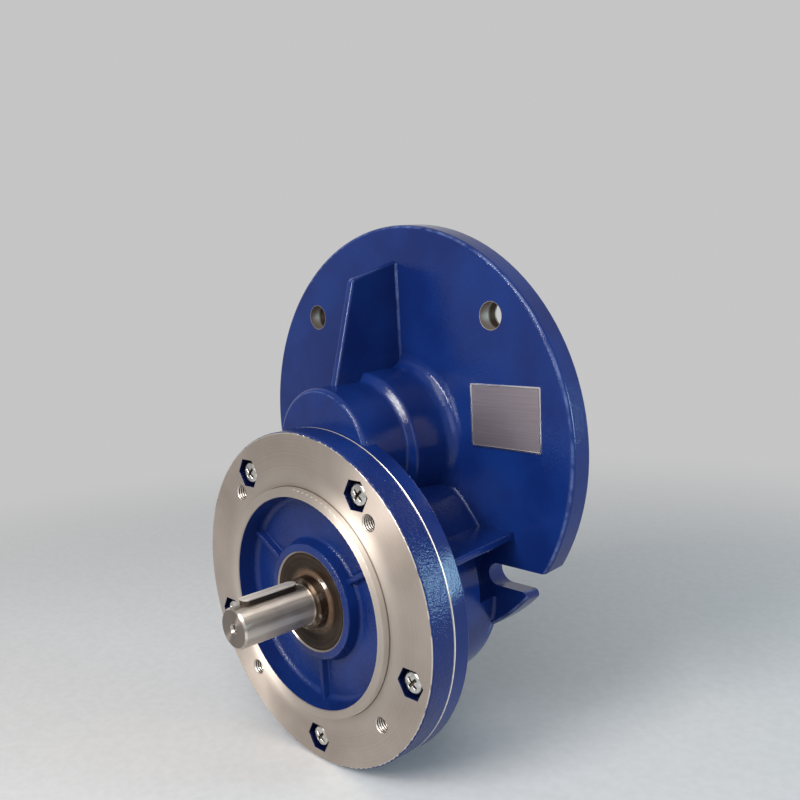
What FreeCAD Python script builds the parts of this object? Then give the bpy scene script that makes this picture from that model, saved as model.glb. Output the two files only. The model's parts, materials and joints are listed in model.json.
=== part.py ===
import FreeCAD, Part
import math
import os
from collections import namedtuple

Vector = FreeCAD.Vector
Bearing = namedtuple("Bearing", "bore outer width ball_dia ball_count")

# Single-stage helical gear unit. Millimetres, +Z up, +Y towards the motor.
# The origin is the centre of the output flange's mounting face, on the output axis.

# Gear pair
normal_module = 1.75
pinion_teeth = 18
wheel_teeth = 53
helix_angle = 20.9
pressure_angle = 20.0
pinion_face = 16.0
wheel_face = 14.0
backlash = 0.20
addendum_factor = 1.0
dedendum_factor = 1.25

# Rolling bearings
output_front_journal = 25.0
output_front_outer = 47.0
output_front_width = 12.0
output_front_ball_dia = 6.35
output_front_ball_count = 10
output_rear_journal = 20.0
output_rear_outer = 47.0
output_rear_width = 14.0
output_rear_ball_dia = 7.94
output_rear_ball_count = 8
input_journal = 30.0
input_outer = 55.0
input_front_width = 9.0
input_front_ball_dia = 5.56
input_front_ball_count = 13
input_rear_width = 13.0
input_rear_ball_dia = 7.14
input_rear_ball_count = 11
bearing_shoulder = 3.5
race_conformity = 1.03
race_shoulder = 0.30
bearing_chamfer = 0.6
cage_thick_share = 0.24
cage_width_share = 1.26
pocket_gap = 0.10

# Output flange, the front cover
flange_dia = 160.0
flange_thick = 12.7
flange_edge_round = 1.0
spigot_dia = 110.0
spigot_height = 3.5
spigot_edge_round = 0.6
recess_mouth_dia = 101.5
recess_floor_dia = 99.0
recess_depth = 7.5
recess_round = 3.0
hub_base_round = 2.0
hub_face_depth = 1.0
hub_face_dia = 55.5
hub_base_dia = 58.0
hub_edge_round = 0.8
seal_mouth_chamfer = 0.6
front_rib_count = 3
front_rib_foot = 4.8
front_rib_crest = 2.4
front_rib_height = 3.2
front_rib_round = 0.9
tapped_hole_dia = 8.0
tapped_hole_pcd = 130.0
tapped_hole_count = 4
cover_hub_wall = 6.5
register_depth = 4.0
register_width = 6.0
o_ring_section = 2.0

# Cover screws, placed by their angle from the top
screw_pcd = 137.4
screw_angles = (-34.5, 34.5, 107.1, 180.0, 252.9)
screw_thread_dia = 6.0
screw_length = 16.0
screw_head_dia = 10.6
screw_head_height = 4.0
screw_head_round = 1.3
screw_head_sink = 1.0
screw_hole_gap = 0.3
thread_gap = 0.05
cross_length = 5.6
cross_width = 1.1
cross_depth = 2.2
pocket_across_flats = 13.2
washer_dia = 11.0
washer_thick = 1.6
washer_split = 0.8

# Oil seals
output_seal_width = 7.0
output_seal_inset = 0.6
input_seal_width = 7.0
input_seal_inset = 0.4
seal_lip_gap = 0.03
seal_case_wall = 1.9
seal_face_wall = 1.7
seal_face_land = 4.2
seal_lip_height = 3.4
seal_lip_taper = 0.6
seal_lip_relief = 1.0
seal_lip_edge = 2.4
seal_lip_setback = 0.9
dust_lip_height = 1.2
dust_lip_depth = 0.5
dust_lip_gap = 0.1
spring_wire = 1.6

# Output shaft and what it carries
shaft_dia = 19.0
shaft_length = 38.5
shaft_shoulder_out = 3.0
shaft_end_chamfer = 1.0
centre_hole_dia = 5.3
centre_hole_depth = 9.0
output_key_width = 6.0
output_key_height = 6.0
output_key_length = 30.0
output_key_setback = 5.0
output_keyway_depth = 3.5
collar_dia = 31.5
collar_length = 5.0
wheel_seat_dia = 28.0
wheel_hub_dia = 45.0
wheel_hub_length = 20.0
wheel_rim_wall = 5.5
wheel_web_thick = 6.0
wheel_web_shift = 2.0
gear_key_width = 8.0
gear_key_height = 7.0
gear_key_length = 16.0
gear_keyway_depth = 4.0
key_top_gap = 0.3
spacer_length = 3.0
output_circlip_thick = 1.2
output_circlip_width = 2.6
output_circlip_ear = 4.0
output_groove_depth = 0.5
ear_share = 0.38
ear_spread = 1.5
shaft_tail = 1.8
tail_gap = 1.0

# Pinion shaft
motor_shaft_dia = 19.0
motor_shaft_length = 40.0
motor_key_width = 6.0
motor_keyway_rise = 2.8
motor_shaft_end_gap = 1.5
pinion_collar_dia = 35.0
pinion_collar_length = 5.1
pinion_setback = 0.8
pinion_circlip_thick = 1.5
pinion_circlip_width = 3.5
pinion_circlip_ear = 5.0
pinion_groove_depth = 0.7
housing_circlip_thick = 2.0
housing_circlip_width = 4.6
housing_circlip_ear = 6.8
housing_groove_depth = 1.5

# Housing
rim_thick = 9.2
rim_edge_round = 1.2
motor_flange_dia = 200.0
motor_flange_thick = 11.0
motor_flange_round = 2.0
pilot_dia = 130.0
pilot_depth = 4.0
motor_hole_dia = 12.0
motor_hole_pcd = 165.0
slot_draft = 0.7
slot_tip_round = 2.4
slot_lip_round = 1.5
nose_setback = 1.8
nose_wall = 4.5
nose_round = 2.2
boss_wall = 7.5
boss_step_y = 39.0
boss_step_length = 2.5
boss_root_round = 7.0
cavity_gap = 1.5
case_wall = 8.0
case_taper = 5.0
case_root_round = 3.0
case_flange_round = 2.0
case_rear_setback = 3.0
case_rear_round = 7.0
register_step = 4.1
lip_thick = 1.4
lip_dia = 42.0
sump_outer_dia = 88.0
sump_wall = 6.5
sump_floor = 9.0
nut_relief_dia = 22.0
nut_relief_depth = 11.5
top_rib_thick = 4.0
top_rib_root_y = 24.5
top_rib_corner_y = 39.0
top_rib_corner_rise = 77.4
top_rib_rear_rise = 84.0
side_rib_top = 30.0
side_rib_thick = 3.6
side_rib_rear_reach = 68.2
rib_round = 1.2
rib_corner_round = 3.0
rib_root_round = 1.5

# Name plate on the motor flange's front face
plate_width = 38.7
plate_height = 28.5
plate_thick = 0.5
plate_boss_gap = 3.7
plate_bottom_rise = 0.5
plate_corner = 1.0

# Clearances
fit_gap = 0.02
pinion_end_gap = 1.5
face_gap = 0.3
overcut = 1.0
root_sink = 0.05

# The four bearings
output_front_bearing = Bearing(output_front_journal, output_front_outer, output_front_width,
                               output_front_ball_dia, output_front_ball_count)
output_rear_bearing = Bearing(output_rear_journal, output_rear_outer, output_rear_width,
                              output_rear_ball_dia, output_rear_ball_count)
input_front_bearing = Bearing(input_journal, input_outer, input_front_width,
                              input_front_ball_dia, input_front_ball_count)
input_rear_bearing = Bearing(input_journal, input_outer, input_rear_width,
                             input_rear_ball_dia, input_rear_ball_count)

# Gear geometry in the transverse plane
helix = math.radians(helix_angle)
transverse_module = normal_module / math.cos(helix)
transverse_pressure = math.atan(math.tan(math.radians(pressure_angle)) / math.cos(helix))
axis_height = transverse_module * (pinion_teeth + wheel_teeth) / 2
wheel_tip = transverse_module * wheel_teeth / 2 + addendum_factor * normal_module
wheel_root = transverse_module * wheel_teeth / 2 - dedendum_factor * normal_module
pinion_tip = transverse_module * pinion_teeth / 2 + addendum_factor * normal_module

# Places along the output axis, from the mounting face towards the motor
parting_y = flange_thick
rim_rear_y = parting_y + rim_thick
output_seal_y = hub_face_depth + output_seal_inset
front_bearing_y = output_seal_y + output_seal_width + lip_thick
collar_y = front_bearing_y + output_front_bearing.width
wheel_hub_y = collar_y + collar_length
spacer_y = wheel_hub_y + wheel_hub_length
rear_bearing_y = spacer_y + spacer_length
output_circlip_y = rear_bearing_y + output_rear_bearing.width
shaft_rear_y = output_circlip_y + output_circlip_thick + shaft_tail
shaft_front_y = -shaft_shoulder_out - shaft_length

# Places along the input axis
nose_y = parting_y + nose_setback
chamber_y = nose_y + nose_wall
pinion_y = chamber_y + pinion_end_gap
mesh_y = pinion_y + pinion_face / 2
pinion_collar_y = pinion_y + pinion_face
input_front_y = pinion_collar_y + pinion_collar_length
input_rear_y = input_front_y + input_front_bearing.width
input_circlip_y = input_rear_y + input_rear_bearing.width
input_seal_y = input_circlip_y + housing_circlip_thick
input_seal_end_y = input_seal_y + input_seal_width
pilot_floor_y = input_seal_end_y + input_seal_inset
motor_face_y = pilot_floor_y + pilot_depth
pinion_end_y = pilot_floor_y - pinion_setback
motor_flange_y = motor_face_y - motor_flange_thick
case_rear_y = motor_face_y - case_rear_setback

# Radii that several pieces share
cavity_radius = wheel_tip + cavity_gap
case_front_radius = cavity_radius + case_wall
case_rear_radius = case_front_radius - case_taper
register_radius = cavity_radius + register_step
input_seat_radius = input_rear_bearing.outer / 2
boss_radius = input_seat_radius + boss_wall
output_seat_radius = output_front_bearing.outer / 2
rear_seat_radius = output_rear_bearing.outer / 2
chamber_radius = rear_seat_radius
nose_radius = chamber_radius + boss_wall
pocket_depth = screw_head_sink + screw_head_height + washer_thick
motor_hole_offset = motor_hole_pcd / 2 * math.sin(math.radians(45))


def rounded_wire(corners, place):
    """Closed wire through (a, b) or (a, b, radius) corners; a corner with a radius becomes an arc."""
    runs = []
    count = len(corners)
    for i, corner in enumerate(corners):
        here = Vector(corner[0], corner[1], 0)
        radius = corner[2] if len(corner) > 2 else 0.0
        if radius == 0.0:
            runs.append((here, None, here))
            continue
        before = Vector(corners[i - 1][0], corners[i - 1][1], 0) - here
        after = Vector(corners[(i + 1) % count][0], corners[(i + 1) % count][1], 0) - here
        before.normalize()
        after.normalize()
        half = before.getAngle(after) / 2
        bisector = before + after
        bisector.normalize()
        reach = radius / math.tan(half)
        middle = here + bisector * (radius / math.sin(half) - radius)
        runs.append((here + before * reach, middle, here + after * reach))
    edges = []
    for i, (start, middle, end) in enumerate(runs):
        if middle is not None:
            arc = Part.Arc(place(start.x, start.y), place(middle.x, middle.y), place(end.x, end.y))
            edges.append(arc.toShape())
        following = runs[(i + 1) % count][0]
        if end.distanceToPoint(following) > 1e-7:
            edges.append(Part.makeLine(place(end.x, end.y), place(following.x, following.y)))
    return Part.Wire(edges)


def turned(corners, axis_z=0.0, angle=360.0):
    """Solid of revolution of (radius, y) corners about the Y line at height axis_z."""
    wire = rounded_wire(corners, lambda r, y: Vector(r, y, axis_z))
    return Part.Face(wire).revolve(Vector(0, 0, axis_z), Vector(0, 1, 0), angle)


def rod(radius, y0, y1, x=0.0, z=0.0):
    """Round bar along Y."""
    return Part.makeCylinder(radius, y1 - y0, Vector(x, y0, z), Vector(0, 1, 0))


def block(x0, x1, y0, y1, z0, z1):
    """Box between two corners."""
    return Part.makeBox(x1 - x0, y1 - y0, z1 - z0, Vector(x0, y0, z0))


def about_axis(shape, angle, axis_z=0.0):
    """Copy of a shape turned about the Y line at height axis_z."""
    return shape.rotated(Vector(0, 0, axis_z), Vector(0, 1, 0), angle)


def mirrored_pair(shape):
    """A shape and its mirror image across the X = 0 plane."""
    return [shape, shape.mirror(Vector(0, 0, 0), Vector(1, 0, 0))]


def edges_between(shape, low, high):
    """Edges whose whole box lies between two corners."""
    box = FreeCAD.BoundBox(low.x, low.y, low.z, high.x, high.y, high.z)
    return [edge for edge in shape.Edges if box.isInside(edge.BoundBox)]


def gear_blank(teeth, hand, face, y0, axis_z, first_tooth):
    """Helical involute gear: transverse sections, turned along the helix, joined by one loft."""
    pitch = transverse_module * teeth / 2
    base = pitch * math.cos(transverse_pressure)
    tip = pitch + addendum_factor * normal_module
    root = pitch - dedendum_factor * normal_module
    thickness = math.pi * transverse_module / 2 - backlash / 2

    def involute(angle):
        return math.tan(angle) - angle

    def half_angle(radius):
        reached = max(radius, base)
        return thickness / (2 * pitch) + involute(transverse_pressure) - involute(math.acos(base / reached))

    start = max(base, root)
    flank_point_count = 6
    radii = [start + (tip - start) * k / (flank_point_count - 1) for k in range(flank_point_count)]
    if root < base:
        radii.insert(0, root)
    step = 2 * math.pi / teeth

    def point(radius, angle):
        return Vector(radius * math.cos(angle), y0, axis_z + radius * math.sin(angle))

    def flank(centre, side):
        curve = Part.BSplineCurve()
        curve.interpolate([point(r, centre + side * half_angle(r)) for r in radii])
        return curve.toShape()

    edges = []
    for i in range(teeth):
        centre = first_tooth + i * step
        edges.append(flank(centre, -1))
        tip_half = half_angle(tip)
        tip_arc = Part.Arc(point(tip, centre - tip_half), point(tip, centre), point(tip, centre + tip_half))
        edges.append(tip_arc.toShape())
        edges.append(flank(centre, 1))
        root_half = half_angle(radii[0])
        gap_from = point(root, centre + root_half)
        gap_to = point(root, centre + step - root_half)
        edges.append(Part.Arc(gap_from, point(root, centre + step / 2), gap_to).toShape())
    outline = Part.Wire(Part.__sortEdges__(edges))

    twist = math.degrees(face * math.tan(helix) / pitch) * hand
    section_count = 5
    wires = []
    for k in range(section_count):
        share = k / (section_count - 1)
        turned_wire = about_axis(outline, twist * (share - 0.5), axis_z)
        turned_wire.translate(Vector(0, face * share, 0))
        wires.append(turned_wire)
    return Part.makeLoft(wires, True, False)


def parallel_key(width, height, length, bottom_z, y0):
    """Round-ended key that lies along Y with its underside at bottom_z."""
    end = width / 2
    corners = [(-end, 0, end), (end, 0, end), (end, length, end), (-end, length, end)]
    wire = rounded_wire(corners, lambda x, y: Vector(x, y0 + y, bottom_z))
    return Part.Face(wire).extrude(Vector(0, 0, height))


def circlip(groove, outward, width, ear_reach, thick, y0, axis_z):
    """Sprung ring in a groove, outward +1 on a shaft and -1 in a bore; two eyed ears flank its gap."""
    edge = groove + outward * width
    outer = max(groove, edge)
    inner = min(groove, edge)
    y1 = y0 + thick
    ring = rod(outer, y0, y1, 0, axis_z).cut(rod(inner, y0 - overcut, y1 + overcut, 0, axis_z))
    ear = ear_reach * ear_share
    seat = groove + outward * (ear_reach - ear)
    turns = [side * math.degrees(ear * ear_spread / seat) for side in (-1, 1)]
    lug = rod(ear, y0, y1, 0, axis_z - seat)
    eye = rod(ear / 2, y0 - overcut, y1 + overcut, 0, axis_z - seat)
    gap = block(-ear / 2, ear / 2, y0 - overcut, y1 + overcut, axis_z - outer - ear_reach, axis_z)
    lugs = [about_axis(lug, turn, axis_z) for turn in turns]
    eyes = [about_axis(eye, turn, axis_z) for turn in turns]
    return ring.fuse(lugs).cut(eyes + [gap])


def rolling_bearing(size, y0, axis_z):
    """Deep-groove ball bearing as outer ring, inner ring, cage and balls."""
    pitch = (size.bore + size.outer) / 4
    ball = size.ball_dia / 2
    mid_y = y0 + size.width / 2
    y1 = y0 + size.width
    groove = Part.makeTorus(pitch, ball * race_conformity, Vector(0, mid_y, axis_z), Vector(0, 1, 0))
    outside = size.outer / 2 - fit_gap
    inside = size.bore / 2 + fit_gap
    outer_shoulder = pitch + size.ball_dia * race_shoulder
    inner_shoulder = pitch - size.ball_dia * race_shoulder
    chamfer = bearing_chamfer
    outer_ring = turned([
        (outer_shoulder, y0), (outside - chamfer, y0), (outside, y0 + chamfer),
        (outside, y1 - chamfer), (outside - chamfer, y1), (outer_shoulder, y1)], axis_z).cut(groove)
    inner_ring = turned([
        (inside + chamfer, y0), (inner_shoulder, y0), (inner_shoulder, y1),
        (inside + chamfer, y1), (inside, y1 - chamfer), (inside, y0 + chamfer)], axis_z).cut(groove)
    half_width = size.ball_dia * cage_width_share / 2
    half_thick = size.ball_dia * cage_thick_share / 2
    cage = rod(pitch + half_thick, mid_y - half_width, mid_y + half_width, 0, axis_z)
    cage = cage.cut(rod(pitch - half_thick, y0 - overcut, y1 + overcut, 0, axis_z))
    balls = []
    pockets = []
    for i in range(size.ball_count):
        angle = 2 * math.pi * i / size.ball_count
        centre = Vector(pitch * math.cos(angle), mid_y, axis_z + pitch * math.sin(angle))
        outward = Vector(math.cos(angle), 0, math.sin(angle))
        balls.append(Part.makeSphere(ball, centre, outward))
        pockets.append(Part.makeSphere(ball + pocket_gap, centre, outward))
    return {"outer_ring": outer_ring, "inner_ring": inner_ring,
            "cage": cage.cut(pockets), "balls": Part.makeCompound(balls)}


def lip_seal(shaft, outer, width, y_air, inward, axis_z):
    """Rotary shaft seal and its garter spring; y_air is the outside face, inward is +1 or -1 along Y."""
    bore = shaft / 2 + seal_lip_gap
    rim = outer / 2 - fit_gap

    def at(radius, depth):
        return (radius, y_air + inward * depth)

    lip_top = bore + seal_lip_height - seal_lip_taper
    body = turned([
        at(rim, 0.0), at(rim, width),
        at(rim - seal_case_wall, width), at(rim - seal_case_wall, seal_face_wall),
        at(bore + seal_lip_height, seal_face_wall + seal_lip_taper), at(lip_top, width - seal_lip_setback),
        at(bore + seal_lip_relief, width - seal_lip_setback), at(bore, width - seal_lip_edge),
        at(bore + seal_lip_relief, seal_face_wall + seal_lip_taper),
        at(bore + seal_lip_relief, seal_face_wall),
        at(bore + dust_lip_gap, dust_lip_depth), at(bore + dust_lip_height, dust_lip_depth / 2),
        at(bore + 2 * dust_lip_height, seal_face_wall * 0.75), at(rim - seal_face_land, 0.0)], axis_z)
    spring_y = y_air + inward * (width - seal_lip_edge)
    spring_radius = lip_top + spring_wire / 4
    centre = Vector(0, spring_y, axis_z)
    spring = Part.makeTorus(spring_radius, spring_wire / 2, centre, Vector(0, 1, 0))
    groove = Part.makeTorus(spring_radius, spring_wire / 2 + fit_gap, centre, Vector(0, 1, 0))
    return body.cut(groove), spring


def screw_places():
    """Centre of each cover screw as (x, z)."""
    for angle in screw_angles:
        turn = math.radians(angle)
        yield screw_pcd / 2 * math.sin(turn), screw_pcd / 2 * math.cos(turn)


def motor_hole_places(side):
    """The two motor bolt places above (+1) or below (-1) the input axis as (x, z)."""
    return [(x, axis_height + side * motor_hole_offset) for x in (-motor_hole_offset, motor_hole_offset)]


def bolt_slot(x, z):
    """Tool for a side-open bolt slot that widens towards the motor face as a casting's draft does."""
    side = math.copysign(1, x)
    outer = motor_flange_dia / 2 * side
    front_half = motor_hole_dia / 2 - slot_draft
    rear_half = motor_hole_dia / 2 + slot_draft
    wires = []
    for y, half in ((motor_flange_y, front_half), (motor_face_y, rear_half)):
        inner = x - half * side
        corners = [(inner, z - half, half), (outer, z - half), (outer, z + half), (inner, z + half, half)]
        wires.append(rounded_wire(corners, lambda a, b: Vector(a, y, b)))
    return Part.makeLoft(wires, True, True)


def slot_corner_edges(flange, side):
    """Edges where the slots' lower (-1) or upper (+1) walls meet the flange's rim."""
    slot_z = axis_height - motor_hole_offset
    half = motor_hole_dia / 2
    found = []
    for edge in flange.Edges:
        ends = [vertex.Point for vertex in edge.Vertexes]
        if len(ends) != 2 or abs(ends[0].y - ends[1].y) < motor_flange_thick / 2:
            continue
        middle = edge.CenterOfMass
        if abs(middle.z - slot_z - side * half) < half / 2 and abs(middle.x) > motor_hole_offset + face_gap:
            found.append(edge)
    return found


def make_gear_housing():
    """Casting: front rim, tapered gear case, input boss, motor flange and three stiffening ribs."""
    slots = []
    reliefs = []
    for x, z in motor_hole_places(-1):
        slots.append(bolt_slot(x, z))
        reliefs.append(rod(nut_relief_dia / 2, motor_flange_y - nut_relief_depth, motor_flange_y, x, z))
    slope = case_taper / (motor_flange_y - rim_rear_y)
    tail_radius = case_rear_radius - slope * (case_rear_y - motor_flange_y)
    flange_radius = flange_dia / 2
    case = turned([
        (0, parting_y), (flange_radius, parting_y), (flange_radius, rim_rear_y, rim_edge_round),
        (case_front_radius, rim_rear_y, case_root_round), (tail_radius, case_rear_y, case_rear_round),
        (0, case_rear_y)])
    case = case.cut(slots + reliefs)
    motor_radius = motor_flange_dia / 2
    fillet_reach = 2 * case_flange_round
    fillet_y = motor_flange_y + root_sink
    case_fillet = turned([
        (case_rear_radius - overcut, motor_flange_y - fillet_reach),
        (case_rear_radius + slope * fillet_reach - root_sink, motor_flange_y - fillet_reach),
        (case_rear_radius - root_sink, fillet_y, case_flange_round),
        (case_rear_radius + fillet_reach, fillet_y), (case_rear_radius + fillet_reach, fillet_y + overcut),
        (case_rear_radius - overcut, fillet_y + overcut)])
    flange_front = rod(motor_radius - motor_flange_round, motor_flange_y - fillet_reach, motor_face_y,
                       0, axis_height)
    case_fillet = case_fillet.common(flange_front).cut(slots + reliefs)
    flange = rod(motor_radius, motor_flange_y, motor_face_y, 0, axis_height).cut(slots)
    flange = flange.makeFillet(slot_tip_round, slot_corner_edges(flange, -1))
    flange = flange.makeFillet(slot_lip_round, slot_corner_edges(flange, 1))
    round_r = motor_radius - motor_flange_round
    round_y = motor_flange_y + motor_flange_round
    edge_waste = turned([
        (round_r, motor_flange_y - overcut), (motor_radius + overcut, motor_flange_y - overcut),
        (motor_radius + overcut, round_y), (motor_radius, round_y),
        (motor_radius, motor_flange_y, motor_flange_round), (round_r, motor_flange_y)], axis_height)
    flange = flange.cut(edge_waste)
    step_end = boss_step_y + boss_step_length
    boss_foot = boss_radius + 3 * boss_root_round
    boss = turned([
        (0, nose_y), (nose_radius, nose_y, nose_round), (nose_radius, boss_step_y, nose_round),
        (boss_radius, step_end, nose_round), (boss_radius, motor_flange_y, boss_root_round),
        (boss_foot, motor_flange_y), (boss_foot, pilot_floor_y), (0, pilot_floor_y)], axis_height)

    inside_y = motor_flange_y + motor_flange_thick / 2
    root_z = axis_height + nose_radius
    top_z = axis_height + top_rib_corner_rise
    rear_z = axis_height + top_rib_rear_rise
    front_slope = (top_rib_corner_y - top_rib_root_y) / (top_z - root_z)
    foot_z = axis_height + chamber_radius + overcut
    foot_y = top_rib_root_y - front_slope * (root_z - foot_z)
    rib_wire = rounded_wire([
        (foot_y, foot_z), (top_rib_corner_y, top_z, rib_corner_round), (motor_flange_y, rear_z),
        (inside_y, rear_z), (inside_y, foot_z)], lambda y, z: Vector(-top_rib_thick / 2, y, z))
    top_rib = Part.Face(rib_wire).extrude(Vector(top_rib_thick, 0, 0))
    rib_edges = edges_between(top_rib, Vector(-top_rib_thick, foot_y - overcut, foot_z + fit_gap),
                              Vector(top_rib_thick, motor_flange_y + fit_gap, rear_z + overcut))
    long_edges = [edge for edge in rib_edges if edge.Length > top_rib_thick + fit_gap]
    top_rib = top_rib.makeFillet(rib_round, long_edges)
    root_half = top_rib_thick / 2 - root_sink
    root_reach = top_rib_thick / 2 + 2 * rib_root_round
    root_y = motor_flange_y + root_sink
    root_wire = rounded_wire([
        (-root_half, motor_flange_y - 2 * rib_root_round), (root_half, motor_flange_y - 2 * rib_root_round),
        (root_half, root_y, rib_root_round), (root_reach, root_y), (root_reach, inside_y),
        (-root_reach, inside_y), (-root_reach, root_y), (-root_half, root_y, rib_root_round)],
        lambda x, y: Vector(x, y, foot_z))
    top_root = Part.Face(root_wire).extrude(Vector(0, 0, rear_z - rib_round - foot_z))

    front_reach = math.sqrt(flange_radius ** 2 - side_rib_top ** 2) - face_gap
    rim_inside_y = rim_rear_y - rim_thick / 2
    inner_x = cavity_radius * 0.8
    side_wire = rounded_wire([
        (inner_x, rim_inside_y), (front_reach, rim_inside_y), (front_reach, rim_rear_y),
        (side_rib_rear_reach, motor_flange_y), (side_rib_rear_reach, inside_y), (inner_x, inside_y)],
        lambda x, y: Vector(x, y, side_rib_top - side_rib_thick))
    side_rib = Part.Face(side_wire).extrude(Vector(0, 0, side_rib_thick))
    rib_edges = edges_between(side_rib, Vector(side_rib_rear_reach - fit_gap, rim_rear_y - fit_gap, 0),
                              Vector(flange_radius, motor_flange_y + fit_gap, axis_height))
    long_edges = [edge for edge in rib_edges if edge.Length > side_rib_thick + fit_gap]
    side_rib = side_rib.makeFillet(rib_round, long_edges)

    body = case.fuse([flange, boss, case_fillet, top_rib, top_root] + mirrored_pair(side_rib))

    shaft_room = rear_seat_radius - bearing_shoulder
    register_end_y = parting_y + register_depth + face_gap
    wheel_room_y = mesh_y + wheel_face / 2 + cavity_gap
    sump_inner = rear_seat_radius + sump_wall
    sump_y = input_front_y - cavity_gap
    sump_end_y = case_rear_y - sump_floor
    room_end_y = shaft_rear_y + tail_gap
    cavity = turned([
        (0, parting_y - overcut), (register_radius, parting_y - overcut), (register_radius, register_end_y),
        (cavity_radius, register_end_y), (cavity_radius, wheel_room_y), (sump_inner, input_front_y),
        (sump_inner, rear_bearing_y), (rear_seat_radius, rear_bearing_y),
        (rear_seat_radius, output_circlip_y), (shaft_room, output_circlip_y),
        (shaft_room, room_end_y), (0, room_end_y)])
    sump = turned([
        (sump_inner, sump_y), (sump_outer_dia / 2, sump_y),
        (sump_outer_dia / 2, sump_end_y, case_root_round),
        (sump_inner, sump_end_y, case_root_round)], 0.0, 180.0)
    chamber = rod(chamber_radius, chamber_y, input_front_y + overcut, 0, axis_height)
    groove_radius = input_seat_radius + housing_groove_depth
    seat = turned([
        (0, input_front_y), (input_seat_radius, input_front_y), (input_seat_radius, input_circlip_y),
        (groove_radius, input_circlip_y), (groove_radius, input_seal_y), (input_seat_radius, input_seal_y),
        (input_seat_radius, pilot_floor_y), (pilot_dia / 2, pilot_floor_y),
        (pilot_dia / 2, motor_face_y + overcut), (0, motor_face_y + overcut)], axis_height)
    cuts = [cavity, sump, chamber, seat]

    hole_radius = motor_hole_dia / 2
    for x, z in motor_hole_places(1):
        cuts.append(rod(hole_radius, motor_flange_y - overcut, motor_face_y + overcut, x, z))
    thread_radius = screw_thread_dia / 2 + thread_gap
    for x, z in screw_places():
        cuts.append(rod(thread_radius, parting_y - overcut, rim_rear_y + overcut, x, z))
    return body.cut(cuts).removeSplitter()


def make_output_flange():
    """Front cover: machined ring and spigot, dished recess with hub and ribs, bearing hub inside."""
    flange_radius = flange_dia / 2
    seat = output_seat_radius
    hub_outer = seat + cover_hub_wall
    register = register_radius - fit_gap
    groove_y = parting_y + (register_depth - o_ring_section * 1.2) / 2
    groove_floor = register - o_ring_section + fit_gap
    lip_y = output_seal_y + output_seal_width
    body = turned([
        (lip_dia / 2, lip_y), (seat, lip_y), (seat, hub_face_depth + seal_mouth_chamfer),
        (seat + seal_mouth_chamfer, hub_face_depth), (hub_face_dia / 2, hub_face_depth, hub_edge_round),
        (hub_base_dia / 2, recess_depth, hub_base_round), (recess_floor_dia / 2, recess_depth, recess_round),
        (recess_mouth_dia / 2, -spigot_height, spigot_edge_round),
        (spigot_dia / 2, -spigot_height, spigot_edge_round), (spigot_dia / 2, 0),
        (flange_radius, 0, flange_edge_round), (flange_radius, parting_y),
        (register, parting_y), (register, groove_y), (groove_floor, groove_y),
        (groove_floor, groove_y + o_ring_section * 1.2), (register, groove_y + o_ring_section * 1.2),
        (register, parting_y + register_depth), (register - register_width, parting_y + register_depth),
        (register - register_width, parting_y), (hub_outer, parting_y), (hub_outer, collar_y),
        (seat, collar_y),
        (seat, front_bearing_y), (lip_dia / 2, front_bearing_y)])
    crest_y = recess_depth - front_rib_height
    crest = front_rib_crest / 2
    foot = front_rib_foot / 2
    foot_y = recess_depth + root_sink
    skirt = foot + 2 * front_rib_round
    rib_start = (seat + hub_face_dia / 2) / 2
    rib_end = recess_mouth_dia / 2 + overcut
    rib_wire = rounded_wire([
        (-skirt, foot_y + overcut), (-skirt, foot_y), (-foot, foot_y, front_rib_round),
        (-crest, crest_y, front_rib_round), (crest, crest_y, front_rib_round),
        (foot, foot_y, front_rib_round), (skirt, foot_y), (skirt, foot_y + overcut)],
        lambda z, y: Vector(rib_start, y, z))
    rib = Part.Face(rib_wire).extrude(Vector(rib_end - rib_start, 0, 0))
    ribs = [about_axis(rib, 90 + 360 / front_rib_count * k) for k in range(front_rib_count)]
    cuts = []
    pocket_radius = pocket_across_flats / math.sqrt(3)
    for x, z in screw_places():
        hexagon = []
        for k in range(7):
            turn = k * math.pi / 3
            corner_x = x + pocket_radius * math.cos(turn)
            corner_z = z + pocket_radius * math.sin(turn)
            hexagon.append(Vector(corner_x, -overcut, corner_z))
        pocket_face = Part.Face(Part.makePolygon(hexagon))
        cuts.append(pocket_face.extrude(Vector(0, pocket_depth + overcut, 0)))
        cuts.append(rod(screw_thread_dia / 2 + screw_hole_gap, 0, parting_y + overcut, x, z))
    for k in range(tapped_hole_count):
        turn = math.radians(45 + 360 / tapped_hole_count * k)
        x = tapped_hole_pcd / 2 * math.cos(turn)
        z = tapped_hole_pcd / 2 * math.sin(turn)
        cuts.append(rod(tapped_hole_dia / 2, -overcut, parting_y + overcut, x, z))
    return body.fuse(ribs).cut(cuts).removeSplitter()


def make_cover_o_ring():
    """Ring in the groove of the cover's register."""
    section = o_ring_section / 2 - fit_gap
    centre_radius = register_radius - fit_gap - section - fit_gap
    centre = Vector(0, parting_y + register_depth / 2, 0)
    return Part.makeTorus(centre_radius, section, centre, Vector(0, 1, 0))


def make_cover_screws():
    """Pan head screws with a cross recess."""
    head_radius = screw_head_dia / 2
    under_head = screw_head_sink + screw_head_height
    screws = []
    for x, z in screw_places():
        head = turned([(0, screw_head_sink), (head_radius, screw_head_sink, screw_head_round),
                       (head_radius, under_head), (0, under_head)])
        shank = rod(screw_thread_dia / 2, under_head, under_head + screw_length)
        arm = block(-cross_length / 2, cross_length / 2, 0, screw_head_sink + cross_depth,
                    -cross_width / 2, cross_width / 2)
        screw = head.fuse(shank).cut([about_axis(arm, 45), about_axis(arm, 135)])
        screw.translate(Vector(x, 0, z))
        screws.append(screw)
    return Part.makeCompound(screws)


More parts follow.
